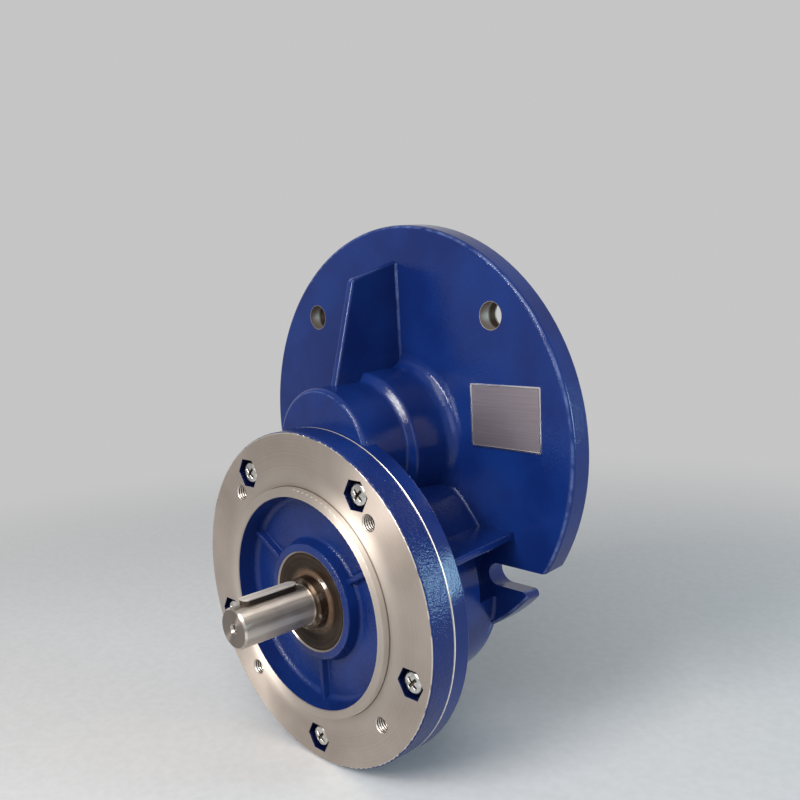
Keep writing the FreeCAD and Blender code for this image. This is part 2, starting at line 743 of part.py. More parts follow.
def make_cover_screw_washers():
    """Split spring washers under the screw heads."""
    y0 = screw_head_sink + screw_head_height
    bore = screw_thread_dia / 2 + screw_hole_gap
    washers = []
    for x, z in screw_places():
        washer = rod(washer_dia / 2, y0, pocket_depth).cut(rod(bore, y0 - overcut, pocket_depth + overcut))
        half_split = washer_split / 2
        slit = block(0, washer_dia, y0 - overcut, pocket_depth + overcut, -half_split, half_split)
        washer = washer.cut(slit)
        washer.translate(Vector(x, 0, z))
        washers.append(washer)
    return Part.makeCompound(washers)


def make_name_plate():
    """Thin plate on the front face of the motor flange."""
    low_z = axis_height + plate_bottom_rise
    high_z = low_z + plate_height
    inner_x = boss_radius + boss_root_round + plate_boss_gap
    outer_x = inner_x + plate_width
    corners = [(inner_x, low_z, plate_corner), (outer_x, low_z, plate_corner),
               (outer_x, high_z, plate_corner), (inner_x, high_z, plate_corner)]
    wire = rounded_wire(corners, lambda x, z: Vector(x, motor_flange_y - plate_thick, z))
    return Part.Face(wire).extrude(Vector(0, plate_thick, 0))


def make_output_shaft():
    """Stepped shaft: keyed end, seal and bearing journal, collar, wheel seat and rear journal."""
    journal = output_front_bearing.bore / 2
    rear = output_rear_bearing.bore / 2
    seat_end_y = spacer_y - face_gap
    groove = rear - output_groove_depth
    end = shaft_dia / 2
    body = turned([
        (0, shaft_front_y), (end - shaft_end_chamfer, shaft_front_y),
        (end, shaft_front_y + shaft_end_chamfer),
        (end, -shaft_shoulder_out), (journal - shaft_end_chamfer, -shaft_shoulder_out),
        (journal, -shaft_shoulder_out + shaft_end_chamfer), (journal, collar_y), (collar_dia / 2, collar_y),
        (collar_dia / 2, wheel_hub_y), (wheel_seat_dia / 2, wheel_hub_y), (wheel_seat_dia / 2, seat_end_y),
        (rear, seat_end_y), (rear, output_circlip_y), (groove, output_circlip_y),
        (groove, output_circlip_y + output_circlip_thick), (rear, output_circlip_y + output_circlip_thick),
        (rear, shaft_rear_y), (0, shaft_rear_y)])
    centre = turned([
        (0, shaft_front_y - overcut), (centre_hole_dia / 2 + overcut, shaft_front_y - overcut),
        (centre_hole_dia / 2 - overcut, shaft_front_y + overcut),
        (centre_hole_dia / 2 - overcut, shaft_front_y + centre_hole_depth),
        (0, shaft_front_y + centre_hole_depth + overcut)])
    front_way = parallel_key(output_key_width, shaft_dia, output_key_length,
                             end - output_keyway_depth, shaft_front_y + output_key_setback)
    gear_way = parallel_key(gear_key_width, wheel_seat_dia, gear_key_length,
                            wheel_seat_dia / 2 - gear_keyway_depth, gear_key_y())
    return body.cut([centre, front_way, gear_way])


def gear_key_y():
    """Front end of the key under the wheel, centred in the hub."""
    return wheel_hub_y + (wheel_hub_length - gear_key_length) / 2


def make_output_key():
    """Key in the free end of the output shaft."""
    bottom = shaft_dia / 2 - output_keyway_depth
    return parallel_key(output_key_width - 2 * fit_gap, output_key_height, output_key_length - 2 * fit_gap,
                        bottom, shaft_front_y + output_key_setback + fit_gap)


def make_gear_key():
    """Key between shaft and wheel."""
    bottom = wheel_seat_dia / 2 - gear_keyway_depth
    return parallel_key(gear_key_width - 2 * fit_gap, gear_key_height, gear_key_length - 2 * fit_gap,
                        bottom, gear_key_y() + fit_gap)


def make_output_gear():
    """Wheel with toothed rim, thin web and long hub."""
    face_y = mesh_y - wheel_face / 2
    gap_up = math.pi / 2 + math.pi / wheel_teeth
    teeth = gear_blank(wheel_teeth, 1, wheel_face, face_y, 0.0, gap_up)
    rim_inner = wheel_root - wheel_rim_wall
    web_y = mesh_y + wheel_web_shift - wheel_web_thick / 2
    bore = wheel_seat_dia / 2 + fit_gap
    hub = wheel_hub_dia / 2
    hollow = rod(rim_inner, face_y - overcut, face_y + wheel_face + overcut)
    web_end_y = web_y + wheel_web_thick
    web_reach = rim_inner + overcut
    web = turned([(bore, web_y), (web_reach, web_y), (web_reach, web_end_y), (bore, web_end_y)])
    sleeve = turned([(bore, wheel_hub_y), (hub, wheel_hub_y), (hub, spacer_y), (bore, spacer_y)])
    way_top = wheel_seat_dia / 2 - gear_keyway_depth + gear_key_height + key_top_gap
    half_key = gear_key_width / 2
    keyway = block(-half_key, half_key, wheel_hub_y - overcut, spacer_y + overcut, 0, way_top)
    return teeth.cut(hollow).fuse([web, sleeve]).cut(keyway)


def make_gear_spacer():
    """Sleeve between wheel hub and rear bearing."""
    bore = output_rear_bearing.bore / 2 + fit_gap
    return turned([(bore, spacer_y), (wheel_seat_dia / 2, spacer_y),
                   (wheel_seat_dia / 2, rear_bearing_y), (bore, rear_bearing_y)])


def make_output_circlip():
    """Ring in the groove behind the rear bearing."""
    groove = output_rear_bearing.bore / 2 - output_groove_depth + fit_gap
    return circlip(groove, 1, output_circlip_width, output_circlip_ear, output_circlip_thick,
                   output_circlip_y, 0.0)


def make_input_pinion():
    """Hollow shaft with integral pinion; the motor shaft enters from the rear."""
    tooth_down = -math.pi / 2
    teeth = gear_blank(pinion_teeth, -1, pinion_face, pinion_y, axis_height, tooth_down)
    journal = input_rear_bearing.bore / 2
    groove = journal - pinion_groove_depth
    chamfer = bearing_chamfer
    shaft = turned([
        (0, pinion_collar_y), (pinion_collar_dia / 2, pinion_collar_y),
        (pinion_collar_dia / 2, input_front_y),
        (journal, input_front_y), (journal, input_circlip_y), (groove, input_circlip_y),
        (groove, input_circlip_y + pinion_circlip_thick), (journal, input_circlip_y + pinion_circlip_thick),
        (journal, pinion_end_y - chamfer), (journal - chamfer, pinion_end_y), (0, pinion_end_y)],
        axis_height)
    bore_y = motor_face_y - motor_shaft_length - motor_shaft_end_gap
    bore_radius = motor_shaft_dia / 2
    bore = rod(bore_radius, bore_y, motor_face_y, 0, axis_height)
    half_key = motor_key_width / 2
    keyway = block(-half_key, half_key, bore_y, motor_face_y, axis_height,
                   axis_height + bore_radius + motor_keyway_rise)
    return teeth.fuse(shaft).cut([bore, keyway])


def make_pinion_circlip():
    """Ring in the pinion shaft's groove behind its bearings."""
    groove = input_rear_bearing.bore / 2 - pinion_groove_depth + fit_gap
    return circlip(groove, 1, pinion_circlip_width, pinion_circlip_ear, pinion_circlip_thick,
                   input_circlip_y, axis_height)


def make_input_bearing_circlip():
    """Ring in the housing's groove behind the input bearings."""
    groove = input_seat_radius + housing_groove_depth - fit_gap
    return circlip(groove, -1, housing_circlip_width, housing_circlip_ear, housing_circlip_thick,
                   input_circlip_y, axis_height)


nodes = {
    "gear_housing": make_gear_housing(),
    "output_flange": make_output_flange(),
    "cover_o_ring": make_cover_o_ring(),
    "cover_screws": make_cover_screws(),
    "cover_screw_washers": make_cover_screw_washers(),
    "name_plate": make_name_plate(),
    "output_shaft": make_output_shaft(),
    "output_key": make_output_key(),
    "gear_key": make_gear_key(),
    "output_gear": make_output_gear(),
    "gear_spacer": make_gear_spacer(),
    "output_circlip": make_output_circlip(),
    "input_pinion": make_input_pinion(),
    "pinion_circlip": make_pinion_circlip(),
    "input_bearing_circlip": make_input_bearing_circlip(),
}
seal, spring = lip_seal(output_front_journal, output_front_outer, output_seal_width, output_seal_y, 1, 0.0)
nodes["output_oil_seal"] = seal
nodes["output_seal_spring"] = spring
seal, spring = lip_seal(input_journal, input_outer, input_seal_width, input_seal_end_y, -1, axis_height)
nodes["input_oil_seal"] = seal
nodes["input_seal_spring"] = spring
bearing_places = {
    "output_front": (output_front_bearing, front_bearing_y, 0.0),
    "output_rear": (output_rear_bearing, rear_bearing_y, 0.0),
    "input_front": (input_front_bearing, input_front_y, axis_height),
    "input_rear": (input_rear_bearing, input_rear_y, axis_height),
}
for place, (size, y0, axis_z) in bearing_places.items():
    for piece, shape in rolling_bearing(size, y0, axis_z).items():
        nodes[place + "_bearing_" + piece] = shape

os.makedirs("parts", exist_ok=True)
for name, shape in nodes.items():
    shape.exportStep("parts/" + name + ".step")
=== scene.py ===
import json
import math
from functools import reduce

import bmesh
import bpy
import numpy as np
from mathutils import Euler, Matrix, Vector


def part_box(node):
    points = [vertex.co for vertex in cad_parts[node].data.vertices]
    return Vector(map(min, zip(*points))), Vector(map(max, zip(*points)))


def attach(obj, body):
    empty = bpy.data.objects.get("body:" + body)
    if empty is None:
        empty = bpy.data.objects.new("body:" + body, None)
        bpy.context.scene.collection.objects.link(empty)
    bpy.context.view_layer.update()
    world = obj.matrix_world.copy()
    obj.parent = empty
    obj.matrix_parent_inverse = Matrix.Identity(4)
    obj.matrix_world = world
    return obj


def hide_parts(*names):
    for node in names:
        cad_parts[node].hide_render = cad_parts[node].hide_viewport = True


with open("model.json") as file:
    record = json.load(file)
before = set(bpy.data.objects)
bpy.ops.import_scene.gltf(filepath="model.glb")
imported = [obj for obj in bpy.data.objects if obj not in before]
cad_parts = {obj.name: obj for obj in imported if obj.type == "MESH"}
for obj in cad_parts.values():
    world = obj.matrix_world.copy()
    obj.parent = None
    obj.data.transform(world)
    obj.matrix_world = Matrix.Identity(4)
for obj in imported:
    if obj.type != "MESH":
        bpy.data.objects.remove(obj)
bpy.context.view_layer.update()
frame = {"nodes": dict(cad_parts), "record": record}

# Gear housing
# One aluminium casting: motor flange, input boss, ribs and the round rim that carries the output cover.
# It is sprayed with a gloss blue enamel, then the motor side, the bolt holes and the parting face are
# machined through the paint, which leaves bare metal there.
MOUNTS = {mount["name"]: mount for mount in frame["record"]["mounts"]}


def mount_size(name, dimension):
    """A dimension that the record states for a mount, in metres."""
    return MOUNTS[name]["dims"][dimension] / 1000.0


INPUT_AXIS_Z = MOUNTS["motor_pilot"]["pos_m"][2]
MOTOR_FACE_Y = MOUNTS["motor_face"]["pos_m"][1]
MOTOR_FLANGE_Y = MOTOR_FACE_Y - 0.0110
FLANGE_EDGE_FRONT_Y = MOTOR_FLANGE_Y - 0.0003
FLANGE_EDGE_BACK_Y = MOTOR_FLANGE_Y + 0.0009
FLANGE_EDGE_REACH = 0.09875
MOTOR_HOLE_RADIUS = mount_size("motor_bolts_upper", "hole_r_mm")
MOTOR_HOLE_REACH = mount_size("motor_bolts_upper", "spacing_x_mm") / 2
MOTOR_HOLE_Z = MOUNTS["motor_bolts_upper"]["pos_m"][2]
MOTOR_HOLES = [(side * MOTOR_HOLE_REACH, MOTOR_HOLE_Z) for side in (-1, 1)]
PILOT_RADIUS = mount_size("motor_pilot", "r_mm")
PILOT_FLOOR_Y = MOTOR_FACE_Y - mount_size("motor_pilot", "length_mm")
SEAT_RADIUS = 0.0294
SEAT_START_Y = 0.01725
PARTING_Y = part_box("gear_housing")[0].y
PARTING_CHAMFER = 0.0005

# How far a mask reaches past the cut that it marks, and how far it fades on either side of its limit
CUT_MARGIN = 0.0002
MOTOR_FACE_MARGIN = 0.00008
MASK_BLEND = 0.0001
FINE_BLEND = 0.00005
FACE_BLEND = 0.00004

# Where the painted shade in a bolt hole begins and ends in front of the motor face, and its share at the
# hole's mouths
BOLT_HOLE_SHADE_START = 0.0052
BOLT_HOLE_SHADE_END = 0.0008
BOLT_HOLE_SHADE_AT_MOUTH = 0.45

# How loose triangles become a smooth skin, and which faces of it count as narrow rounds
JOIN_DISTANCE = 0.000001
SMOOTH_ANGLE = math.radians(26.0)
SAME_FACE_ANGLE = math.radians(8.0)
ROUND_WIDTH = 0.0013
SMALLEST_AREA = 1e-15
# Reach within which outward rounds are painted paler, partly thin paint and partly a painted highlight
THIN_PAINT_HIGHLIGHT_REACH = 0.0974

ENAMEL_DEEP = (0.0038, 0.0145, 0.096, 1.0)
ENAMEL_LIGHT = (0.0050, 0.0230, 0.134, 1.0)
# Paler enamel on rounds: partly thin paint, partly a painted highlight
THIN_ENAMEL_HIGHLIGHT = (0.062, 0.094, 0.230, 1.0)
# Painted shade for the enamel inside the screw pockets
SHADED_POCKET_ENAMEL = (0.0014, 0.0040, 0.030, 1.0)
MACHINED_DULL = (0.445, 0.380, 0.330, 1.0)
MACHINED_BRIGHT = (0.565, 0.492, 0.435, 1.0)
# Painted highlight: paler bare metal next to the spigot
HIGHLIGHT_METAL = (0.76, 0.69, 0.62, 1.0)
RUBBED_EDGE = (0.93, 0.87, 0.80, 1.0)
# Painted shade for bare metal in the bolt holes and at the spigot's root
SHADED_METAL = (0.050, 0.029, 0.018, 1.0)
ENAMEL_ROUGHNESS = 0.09
ENAMEL_DULLING = 0.10
ENAMEL_SPECULAR = 0.28
BAND_DULLING = 0.10
# How far the coarse zone is painted towards the paler highlight colour
HIGHLIGHT_SHARE = 0.55
COARSE_DULLING = 0.17
RUBBED_ROUGHNESS = 0.22

# Relief of the casting's skin in metres, and grooves and the chamfer's fall as shares of it
SKIN_RELIEF = 0.00025
GROOVE_SHARE = 0.010
CHAMFER_FALL = -1.6


def feed(tree, node, values):
    """Gives each named socket of a node its value: a number, a colour, or another node's output to link."""
    for key, value in values.items():
        if isinstance(value, bpy.types.NodeSocket):
            tree.links.new(value, node.inputs[key])
        else:
            node.inputs[key].default_value = value


def shader_node(tree, kind, values=None, **settings):
    """One shader node: settings are its properties, and values go to its sockets."""
    made = tree.nodes.new(kind)
    for name, value in settings.items():
        setattr(made, name, value)
    feed(tree, made, values or {})
    return made


def figure(tree, operation, first, second=0.0, third=0.0):
    """The result of one sum on two numbers or outputs; MULTIPLY_ADD adds the third to their product."""
    numbers = {0: first, 1: second, 2: third}
    return shader_node(tree, "ShaderNodeMath", numbers, operation=operation).outputs[0]


def rise(tree, value, start, end):
    """A mask that goes smoothly from 0 at start to 1 at end; start may be the larger. Limits far outside a
    noise's own range leave only middling levels, as a roughness needs."""
    limits = {"Value": value, "From Min": start, "From Max": end}
    return shader_node(tree, "ShaderNodeMapRange", limits, interpolation_type="SMOOTHSTEP").outputs["Result"]


def above(tree, value, limit, blend=MASK_BLEND):
    """A mask of 1 where the value is over the limit, which fades over the blend on either side."""
    return rise(tree, value, limit - blend, limit + blend)


def below(tree, value, limit, blend=MASK_BLEND):
    """A mask of 1 where the value is under the limit, which fades over the blend on either side."""
    return rise(tree, value, limit + blend, limit - blend)


def all_of(tree, *masks):
    """The product of several masks: 1 only where each of them is."""
    return reduce(lambda found, mask: figure(tree, "MULTIPLY", found, mask), masks)


def any_of(tree, *masks):
    """The largest of several masks: 1 where one of them is."""
    return reduce(lambda found, mask: figure(tree, "MAXIMUM", found, mask), masks)


def two_tone(tree, mask, low, high):
    """The colour low where the mask is 0, high where it is 1."""
    tones = {"Factor": mask, "A": low, "B": high}
    return shader_node(tree, "ShaderNodeMix", tones, data_type="RGBA").outputs["Result"]


def two_level(tree, mask, low, high):
    """The number low where the mask is 0, high where it is 1."""
    return shader_node(tree, "ShaderNodeMix", {"Factor": mask, "A": low, "B": high}).outputs["Result"]


def placed(tree):
    """Where a point of the piece lies, in metres."""
    return shader_node(tree, "ShaderNodeTexCoord").outputs["Object"]


def coordinates(tree):
    """The X, Y and Z of a point of the piece, each by its letter."""
    return shader_node(tree, "ShaderNodeSeparateXYZ", {0: placed(tree)}).outputs


def patches(tree, scale, detail=2.0, stretch=(1.0, 1.0, 1.0)):
    """Soft random patches, scale to the metre; a stretch under 1 draws them out along that axis."""
    drawn = shader_node(tree, "ShaderNodeMapping", {"Vector": placed(tree), "Scale": stretch})
    noise = {"Vector": drawn.outputs["Vector"], "Scale": scale, "Detail": detail}
    return shader_node(tree, "ShaderNodeTexNoise", noise).outputs["Fac"]


def stripes(tree, value, scale, detail):
    """Soft random stripes across a value such as a reach, scale to the metre."""
    noise = {"W": value, "Scale": scale, "Detail": detail}
    return shader_node(tree, "ShaderNodeTexNoise", noise, noise_dimensions="1D").outputs["Fac"]


def marked(tree, name):
    """A mask kept on the points of the mesh under that name."""
    return shader_node(tree, "ShaderNodeAttribute", attribute_name=name).outputs["Fac"]


def new_group(name, inputs, outputs):
    """An empty shader group. Inputs are numbers by name, each with what it is when left alone, and outputs
    are kinds by name. Gives the tree, the sockets of its inputs and the node that takes its results."""
    tree = bpy.data.node_groups.new(name, "ShaderNodeTree")
    for label, default in inputs.items():
        number = tree.interface.new_socket(label, in_out="INPUT", socket_type="NodeSocketFloat")
        number.default_value = default
    for label, kind in outputs.items():
        tree.interface.new_socket(label, in_out="OUTPUT", socket_type="NodeSocket" + kind)
    return tree, tree.nodes.new("NodeGroupInput").outputs, tree.nodes.new("NodeGroupOutput")


def axis_reach_group():
    """How far a point lies from an axis along Y, the root of the sum of the squares of its X and Z offsets,
    and its place along that axis."""
    tree, given, result = new_group("axis_reach", {"Axis X": 0.0, "Axis Z": 0.0},
                                    {"Reach": "Float", "Along": "Float"})
    place = coordinates(tree)
    across = figure(tree, "SUBTRACT", place["X"], given["Axis X"])
    up = figure(tree, "SUBTRACT", place["Z"], given["Axis Z"])
    squares = figure(tree, "MULTIPLY_ADD", across, across, figure(tree, "MULTIPLY", up, up))
    feed(tree, result, {"Reach": figure(tree, "SQRT", squares), "Along": place["Y"]})
    return tree


def turned_face_group():
    """Lathe work: a sine of the reach from the axis over the pitch, put out of step by noise, for the tool's
    grooves, and slower bands that mix rings with clouds."""
    tree, given, result = new_group("turned_face", {"Reach": 0.0, "Pitch": 0.0003},
                                    {"Groove": "Float", "Band": "Float"})
    turns = figure(tree, "DIVIDE", given["Reach"], given["Pitch"])
    wavering = figure(tree, "MULTIPLY_ADD", patches(tree, 260.0), 1.6, turns)
    groove = figure(tree, "SINE", figure(tree, "MULTIPLY", wavering, 2 * math.pi))
    rings = stripes(tree, given["Reach"], 1400.0, 4.0)
    clouds = patches(tree, 38.0, 3.0)
    feed(tree, result, {
        "Groove": figure(tree, "MULTIPLY", groove, 0.5),
        "Band": two_level(tree, 0.65, rings, clouds)})
    return tree


def enamelled_casting_group():
    """Gloss enamel with orange peel on a sand-grained casting, painted paler over an Edge, partly as thin
    paint and partly as a painted highlight. It is machined to bare metal where Bare is 1, which is rougher
    where the coarse mask is 1 and painted paler there as a highlight, rubbed bright where Rubbed is 1 and
    lower where
    Chamfer rises to 1. Painted shade darkens metal and enamel where the shade mask is 1."""
    tree, given, result = new_group(
        "enamelled_casting",
        {"Bare": 0.0, "Rubbed": 0.0, "Oiled": 0.0, "Chamfer": 0.0, "Coarse": 0.0, "Edge": 0.0, "Groove": 0.5,
         "Band": 0.5, "Grain": 0.4, "Cut Roughness": 0.4},
        {"Colour": "Color", "Roughness": "Float", "Metallic": "Float", "Height": "Float"})
    bare, rubbed, shaded, band = (given[name] for name in ("Bare", "Rubbed", "Oiled", "Band"))
    clouds = rise(tree, patches(tree, 34.0, 3.0), 0.32, 0.70)
    gloss = two_tone(tree, clouds, ENAMEL_DEEP, ENAMEL_LIGHT)
    # Paler enamel on outward rounds: partly thin paint, partly a painted highlight
    thin_and_highlit = all_of(tree, given["Edge"], rise(tree, patches(tree, 230.0, 2.0), 0.24, 0.72))
    # Painted shade: the shade mask darkens the enamel in the screw pockets
    enamel = two_tone(tree, shaded, two_tone(tree, thin_and_highlit, gloss, THIN_ENAMEL_HIGHLIGHT), SHADED_POCKET_ENAMEL)
    faced = two_tone(tree, rise(tree, band, 0.30, 0.68), MACHINED_DULL, MACHINED_BRIGHT)
    # Painted highlight: bare metal is mixed towards a paler tone near the spigot
    highlight_mask = figure(tree, "MULTIPLY", given["Coarse"], HIGHLIGHT_SHARE)
    clean = two_tone(tree, rubbed, two_tone(tree, highlight_mask, faced, HIGHLIGHT_METAL), RUBBED_EDGE)
    # Painted shade: the shade mask darkens bare metal in the bolt holes and at the spigot's root
    metal = two_tone(tree, shaded, clean, SHADED_METAL)
    enamel_rough = figure(tree, "MULTIPLY_ADD", patches(tree, 300.0, 3.0), ENAMEL_DULLING, ENAMEL_ROUGHNESS)
    fine_rough = figure(tree, "MULTIPLY_ADD", band, BAND_DULLING, given["Cut Roughness"])
    turned_rough = figure(tree, "MULTIPLY_ADD", given["Coarse"], COARSE_DULLING, fine_rough)
    metal_rough = two_level(tree, rubbed, turned_rough, RUBBED_ROUGHNESS)
    peel = figure(tree, "MULTIPLY_ADD", patches(tree, 600.0, 1.0), 0.5, patches(tree, 1150.0, 2.0))
    skin = figure(tree, "MULTIPLY", peel, given["Grain"])
    corner = figure(tree, "MULTIPLY", given["Chamfer"], CHAMFER_FALL)
    cut = figure(tree, "MULTIPLY_ADD", given["Groove"], GROOVE_SHARE, corner)
    feed(tree, result, {
        "Colour": two_tone(tree, bare, enamel, metal),
        "Roughness": two_level(tree, bare, enamel_rough, metal_rough),
        "Metallic": bare,
        "Height": two_level(tree, bare, skin, cut)})
    return tree


AXIS_REACH = axis_reach_group()
TURNED_FACE = turned_face_group()
ENAMELLED_CASTING = enamelled_casting_group()


def new_material(name):
    """A material with only a Principled shader and its output; gives the material, tree and shader."""
    made = bpy.data.materials.new(name)
    made.use_nodes = True
    tree = made.node_tree
    tree.nodes.clear()
    shader = tree.nodes.new("ShaderNodeBsdfPrincipled")
    feed(tree, tree.nodes.new("ShaderNodeOutputMaterial"), {"Surface": shader.outputs[0]})
    return made, tree, shader


def grouped(tree, group, values=None):
    """The outputs of a shared effect that is placed in a material with its own values."""
    return shader_node(tree, "ShaderNodeGroup", values, node_tree=group).outputs


def drilled(tree, centres, radius):
    """Bare inside the holes along Y that have those centres in X and Z."""
    masks = []
    for x, z in centres:
        reach = grouped(tree, AXIS_REACH, {"Axis X": x, "Axis Z": z})["Reach"]
        masks.append(below(tree, reach, radius + CUT_MARGIN))
    return any_of(tree, *masks)


def roughened(tree, shader, height, depth):
    """Feeds a height to the shader as relief, where a height of 1 is that depth in metres."""
    relief = {"Height": height, "Strength": 1.0, "Distance": depth}
    feed(tree, shader, {"Normal": shader_node(tree, "ShaderNodeBump", relief).outputs["Normal"]})


def enamelled(name, cut_places, turning_axis_z, turning_pitch, grain, cut_roughness):
    """An enamelled casting's material; cut_places makes the masks of its bare, rubbed and coarse places,
    its painted highlight and painted shade, its chamfered places and its rounds painted paler."""
    made, tree, shader = new_material(name)
    reach = grouped(tree, AXIS_REACH, {"Axis Z": turning_axis_z})["Reach"]
    lathe = grouped(tree, TURNED_FACE, {"Reach": reach, "Pitch": turning_pitch})
    skin = grouped(tree, ENAMELLED_CASTING, {
        "Groove": lathe["Groove"], "Band": lathe["Band"], "Grain": grain, "Cut Roughness": cut_roughness,
        **cut_places(tree)})
    feed(tree, shader, {
        "Base Color": skin["Colour"],
        "Roughness": skin["Roughness"],
        "Metallic": skin["Metallic"],
        "Specular IOR Level": ENAMEL_SPECULAR})
    roughened(tree, shader, skin["Height"], SKIN_RELIEF)
    return made, tree, shader


def housing_cuts(tree):
    """Bare where the housing is cut: motor face, pilot, bearing seats, two bolt holes and a strip at the
    parting face. The strip is rubbed and its corner broken, the holes get painted shade that deepens towards
    the motor face, and the enamel is painted paler on outward rounds and along the motor flange's front
    edge, partly thin paint and partly a painted highlight."""
    place = grouped(tree, AXIS_REACH, {"Axis Z": INPUT_AXIS_Z})
    reach, along = place["Reach"], place["Along"]
    motor_face = above(tree, along, MOTOR_FACE_Y - MOTOR_FACE_MARGIN, FACE_BLEND)
    pilot = all_of(tree, below(tree, reach, PILOT_RADIUS + CUT_MARGIN),
                   above(tree, along, PILOT_FLOOR_Y - CUT_MARGIN))
    seats = all_of(tree, below(tree, reach, SEAT_RADIUS, blend=0.0002),
                   above(tree, along, SEAT_START_Y, blend=0.00025))
    strip = below(tree, along, PARTING_Y + PARTING_CHAMFER, FINE_BLEND)
    holes = drilled(tree, MOTOR_HOLES, MOTOR_HOLE_RADIUS)
    # Painted shade in the bolt holes: full in the deep part, lighter at the mouths
    deep = all_of(tree, above(tree, along, MOTOR_FACE_Y - BOLT_HOLE_SHADE_START, blend=0.0010),
                  below(tree, along, MOTOR_FACE_Y - BOLT_HOLE_SHADE_END, blend=0.0004))
    rounds = all_of(tree, marked(tree, "edge"), below(tree, reach, THIN_PAINT_HIGHLIGHT_REACH, blend=0.0002))
    # A painted highlight along the motor flange's front round
    flange_edge = all_of(tree, above(tree, along, FLANGE_EDGE_FRONT_Y),
                         below(tree, along, FLANGE_EDGE_BACK_Y, blend=0.0003),
                         above(tree, reach, FLANGE_EDGE_REACH, blend=0.00025))
    return {"Bare": any_of(tree, motor_face, pilot, seats, strip, holes),
            "Rubbed": strip,
            "Edge": any_of(tree, rounds, flange_edge),
            "Oiled": all_of(tree, holes, two_level(tree, deep, BOLT_HOLE_SHADE_AT_MOUTH, 1.0)),
            "Chamfer": rise(tree, along, PARTING_Y + PARTING_CHAMFER, PARTING_Y)}


def mesh_rows(items, key, kind, width):
    """One property of a mesh's points, edges or loops, as an array with a row for each."""
    values = np.empty(len(items) * width, kind)
    items.foreach_get(key, values)
    return values.reshape(-1, width)


def outward_rounds(mesh):
    """Marks with 1 the points in the middle of an outward round. Triangles that meet at a small angle make
    one face; a face is part of a round if twice its area over its outline is narrow, and a point is in the
    middle if every triangle there is."""
    points = mesh_rows(mesh.vertices, "co", np.float32, 3).astype(float)
    triangles = mesh_rows(mesh.loops, "vertex_index", np.int32, 1).reshape(-1, 3)
    corners = points[triangles]
    cross = np.cross(corners[:, 1] - corners[:, 0], corners[:, 2] - corners[:, 0])
    double_area = np.maximum(np.linalg.norm(cross, axis=1), SMALLEST_AREA)
    normal = cross / double_area[:, None]
    middle = corners.mean(1)
    edge_of_loop = mesh_rows(mesh.loops, "edge_index", np.int32, 1).ravel()
    order = np.argsort(edge_of_loop, kind="stable")
    shared = np.flatnonzero(edge_of_loop[order][1:] == edge_of_loop[order][:-1])
    one, other = order[shared] // 3, order[shared + 1] // 3
    ends = mesh_rows(mesh.edges, "vertices", np.int32, 2)[edge_of_loop[order[shared]]]
    length = np.linalg.norm(points[ends[:, 0]] - points[ends[:, 1]], axis=1)
    angle = np.arccos(np.clip((normal[one] * normal[other]).sum(1), -1.0, 1.0))
    outward = ((middle[other] - middle[one]) * normal[one]).sum(1) < 0.0
    level = angle < SAME_FACE_ANGLE
    bent = ~level
    face, before = np.arange(len(triangles)), None
    while before is None or (face != before).any():
        before = face.copy()
        lowest = np.minimum(before[one[level]], before[other[level]])
        np.minimum.at(face, one[level], lowest)
        np.minimum.at(face, other[level], lowest)
        face = face[face]
    outline = sum(np.bincount(face[side[bent]], length[bent], len(triangles)) for side in (one, other))
    narrow = (np.bincount(face, double_area, len(triangles)) < ROUND_WIDTH * outline)[face]
    turn = np.zeros(len(points))
    np.add.at(turn, ends.ravel(), np.repeat(np.where(outward, angle, -angle), 2))
    inside = np.ones(len(points), bool)
    inside[triangles[~narrow].ravel()] = False
    return (inside & (turn > 0.0)).astype(float)


def joined_skin(node_name, piece_name, body, material):
    """Stands for a CAD node: the same surface with its loose triangles joined at their corners and shaded
    smooth except at sharp edges, so that turned and rounded faces show no facets."""
    mesh = frame["nodes"][node_name].data.copy()
    mesh.name = piece_name
    for stale in ("custom_normal", "sharp_edge", "sharp_face"):
        if stale in mesh.attributes:
            mesh.attributes.remove(mesh.attributes[stale])
    joined = bmesh.new()
    joined.from_mesh(mesh)
    bmesh.ops.remove_doubles(joined, verts=joined.verts, dist=JOIN_DISTANCE)
    joined.to_mesh(mesh)
    joined.free()
    mesh.attributes.new("edge", "FLOAT", "POINT").data.foreach_set("value", outward_rounds(mesh))
    mesh.shade_smooth()
    mesh.set_sharp_from_angle(angle=SMOOTH_ANGLE)
    mesh.materials.clear()
    mesh.materials.append(material)
    made = bpy.data.objects.new(piece_name, mesh)
    bpy.context.scene.collection.objects.link(made)
    made.modifiers.new("even_shading", "WEIGHTED_NORMAL").keep_sharp = True
    evaluated = made.evaluated_get(bpy.context.evaluated_depsgraph_get())
    made.data = bpy.data.meshes.new_from_object(evaluated)
    made.modifiers.clear()
    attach(made, body)
    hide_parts(node_name)


housing_finish, _, _ = enamelled(
    "blue_enamel_housing", housing_cuts, INPUT_AXIS_Z, turning_pitch=0.0004, grain=0.32, cut_roughness=0.56)
joined_skin("gear_housing", "housing_casting", "housing", housing_finish)

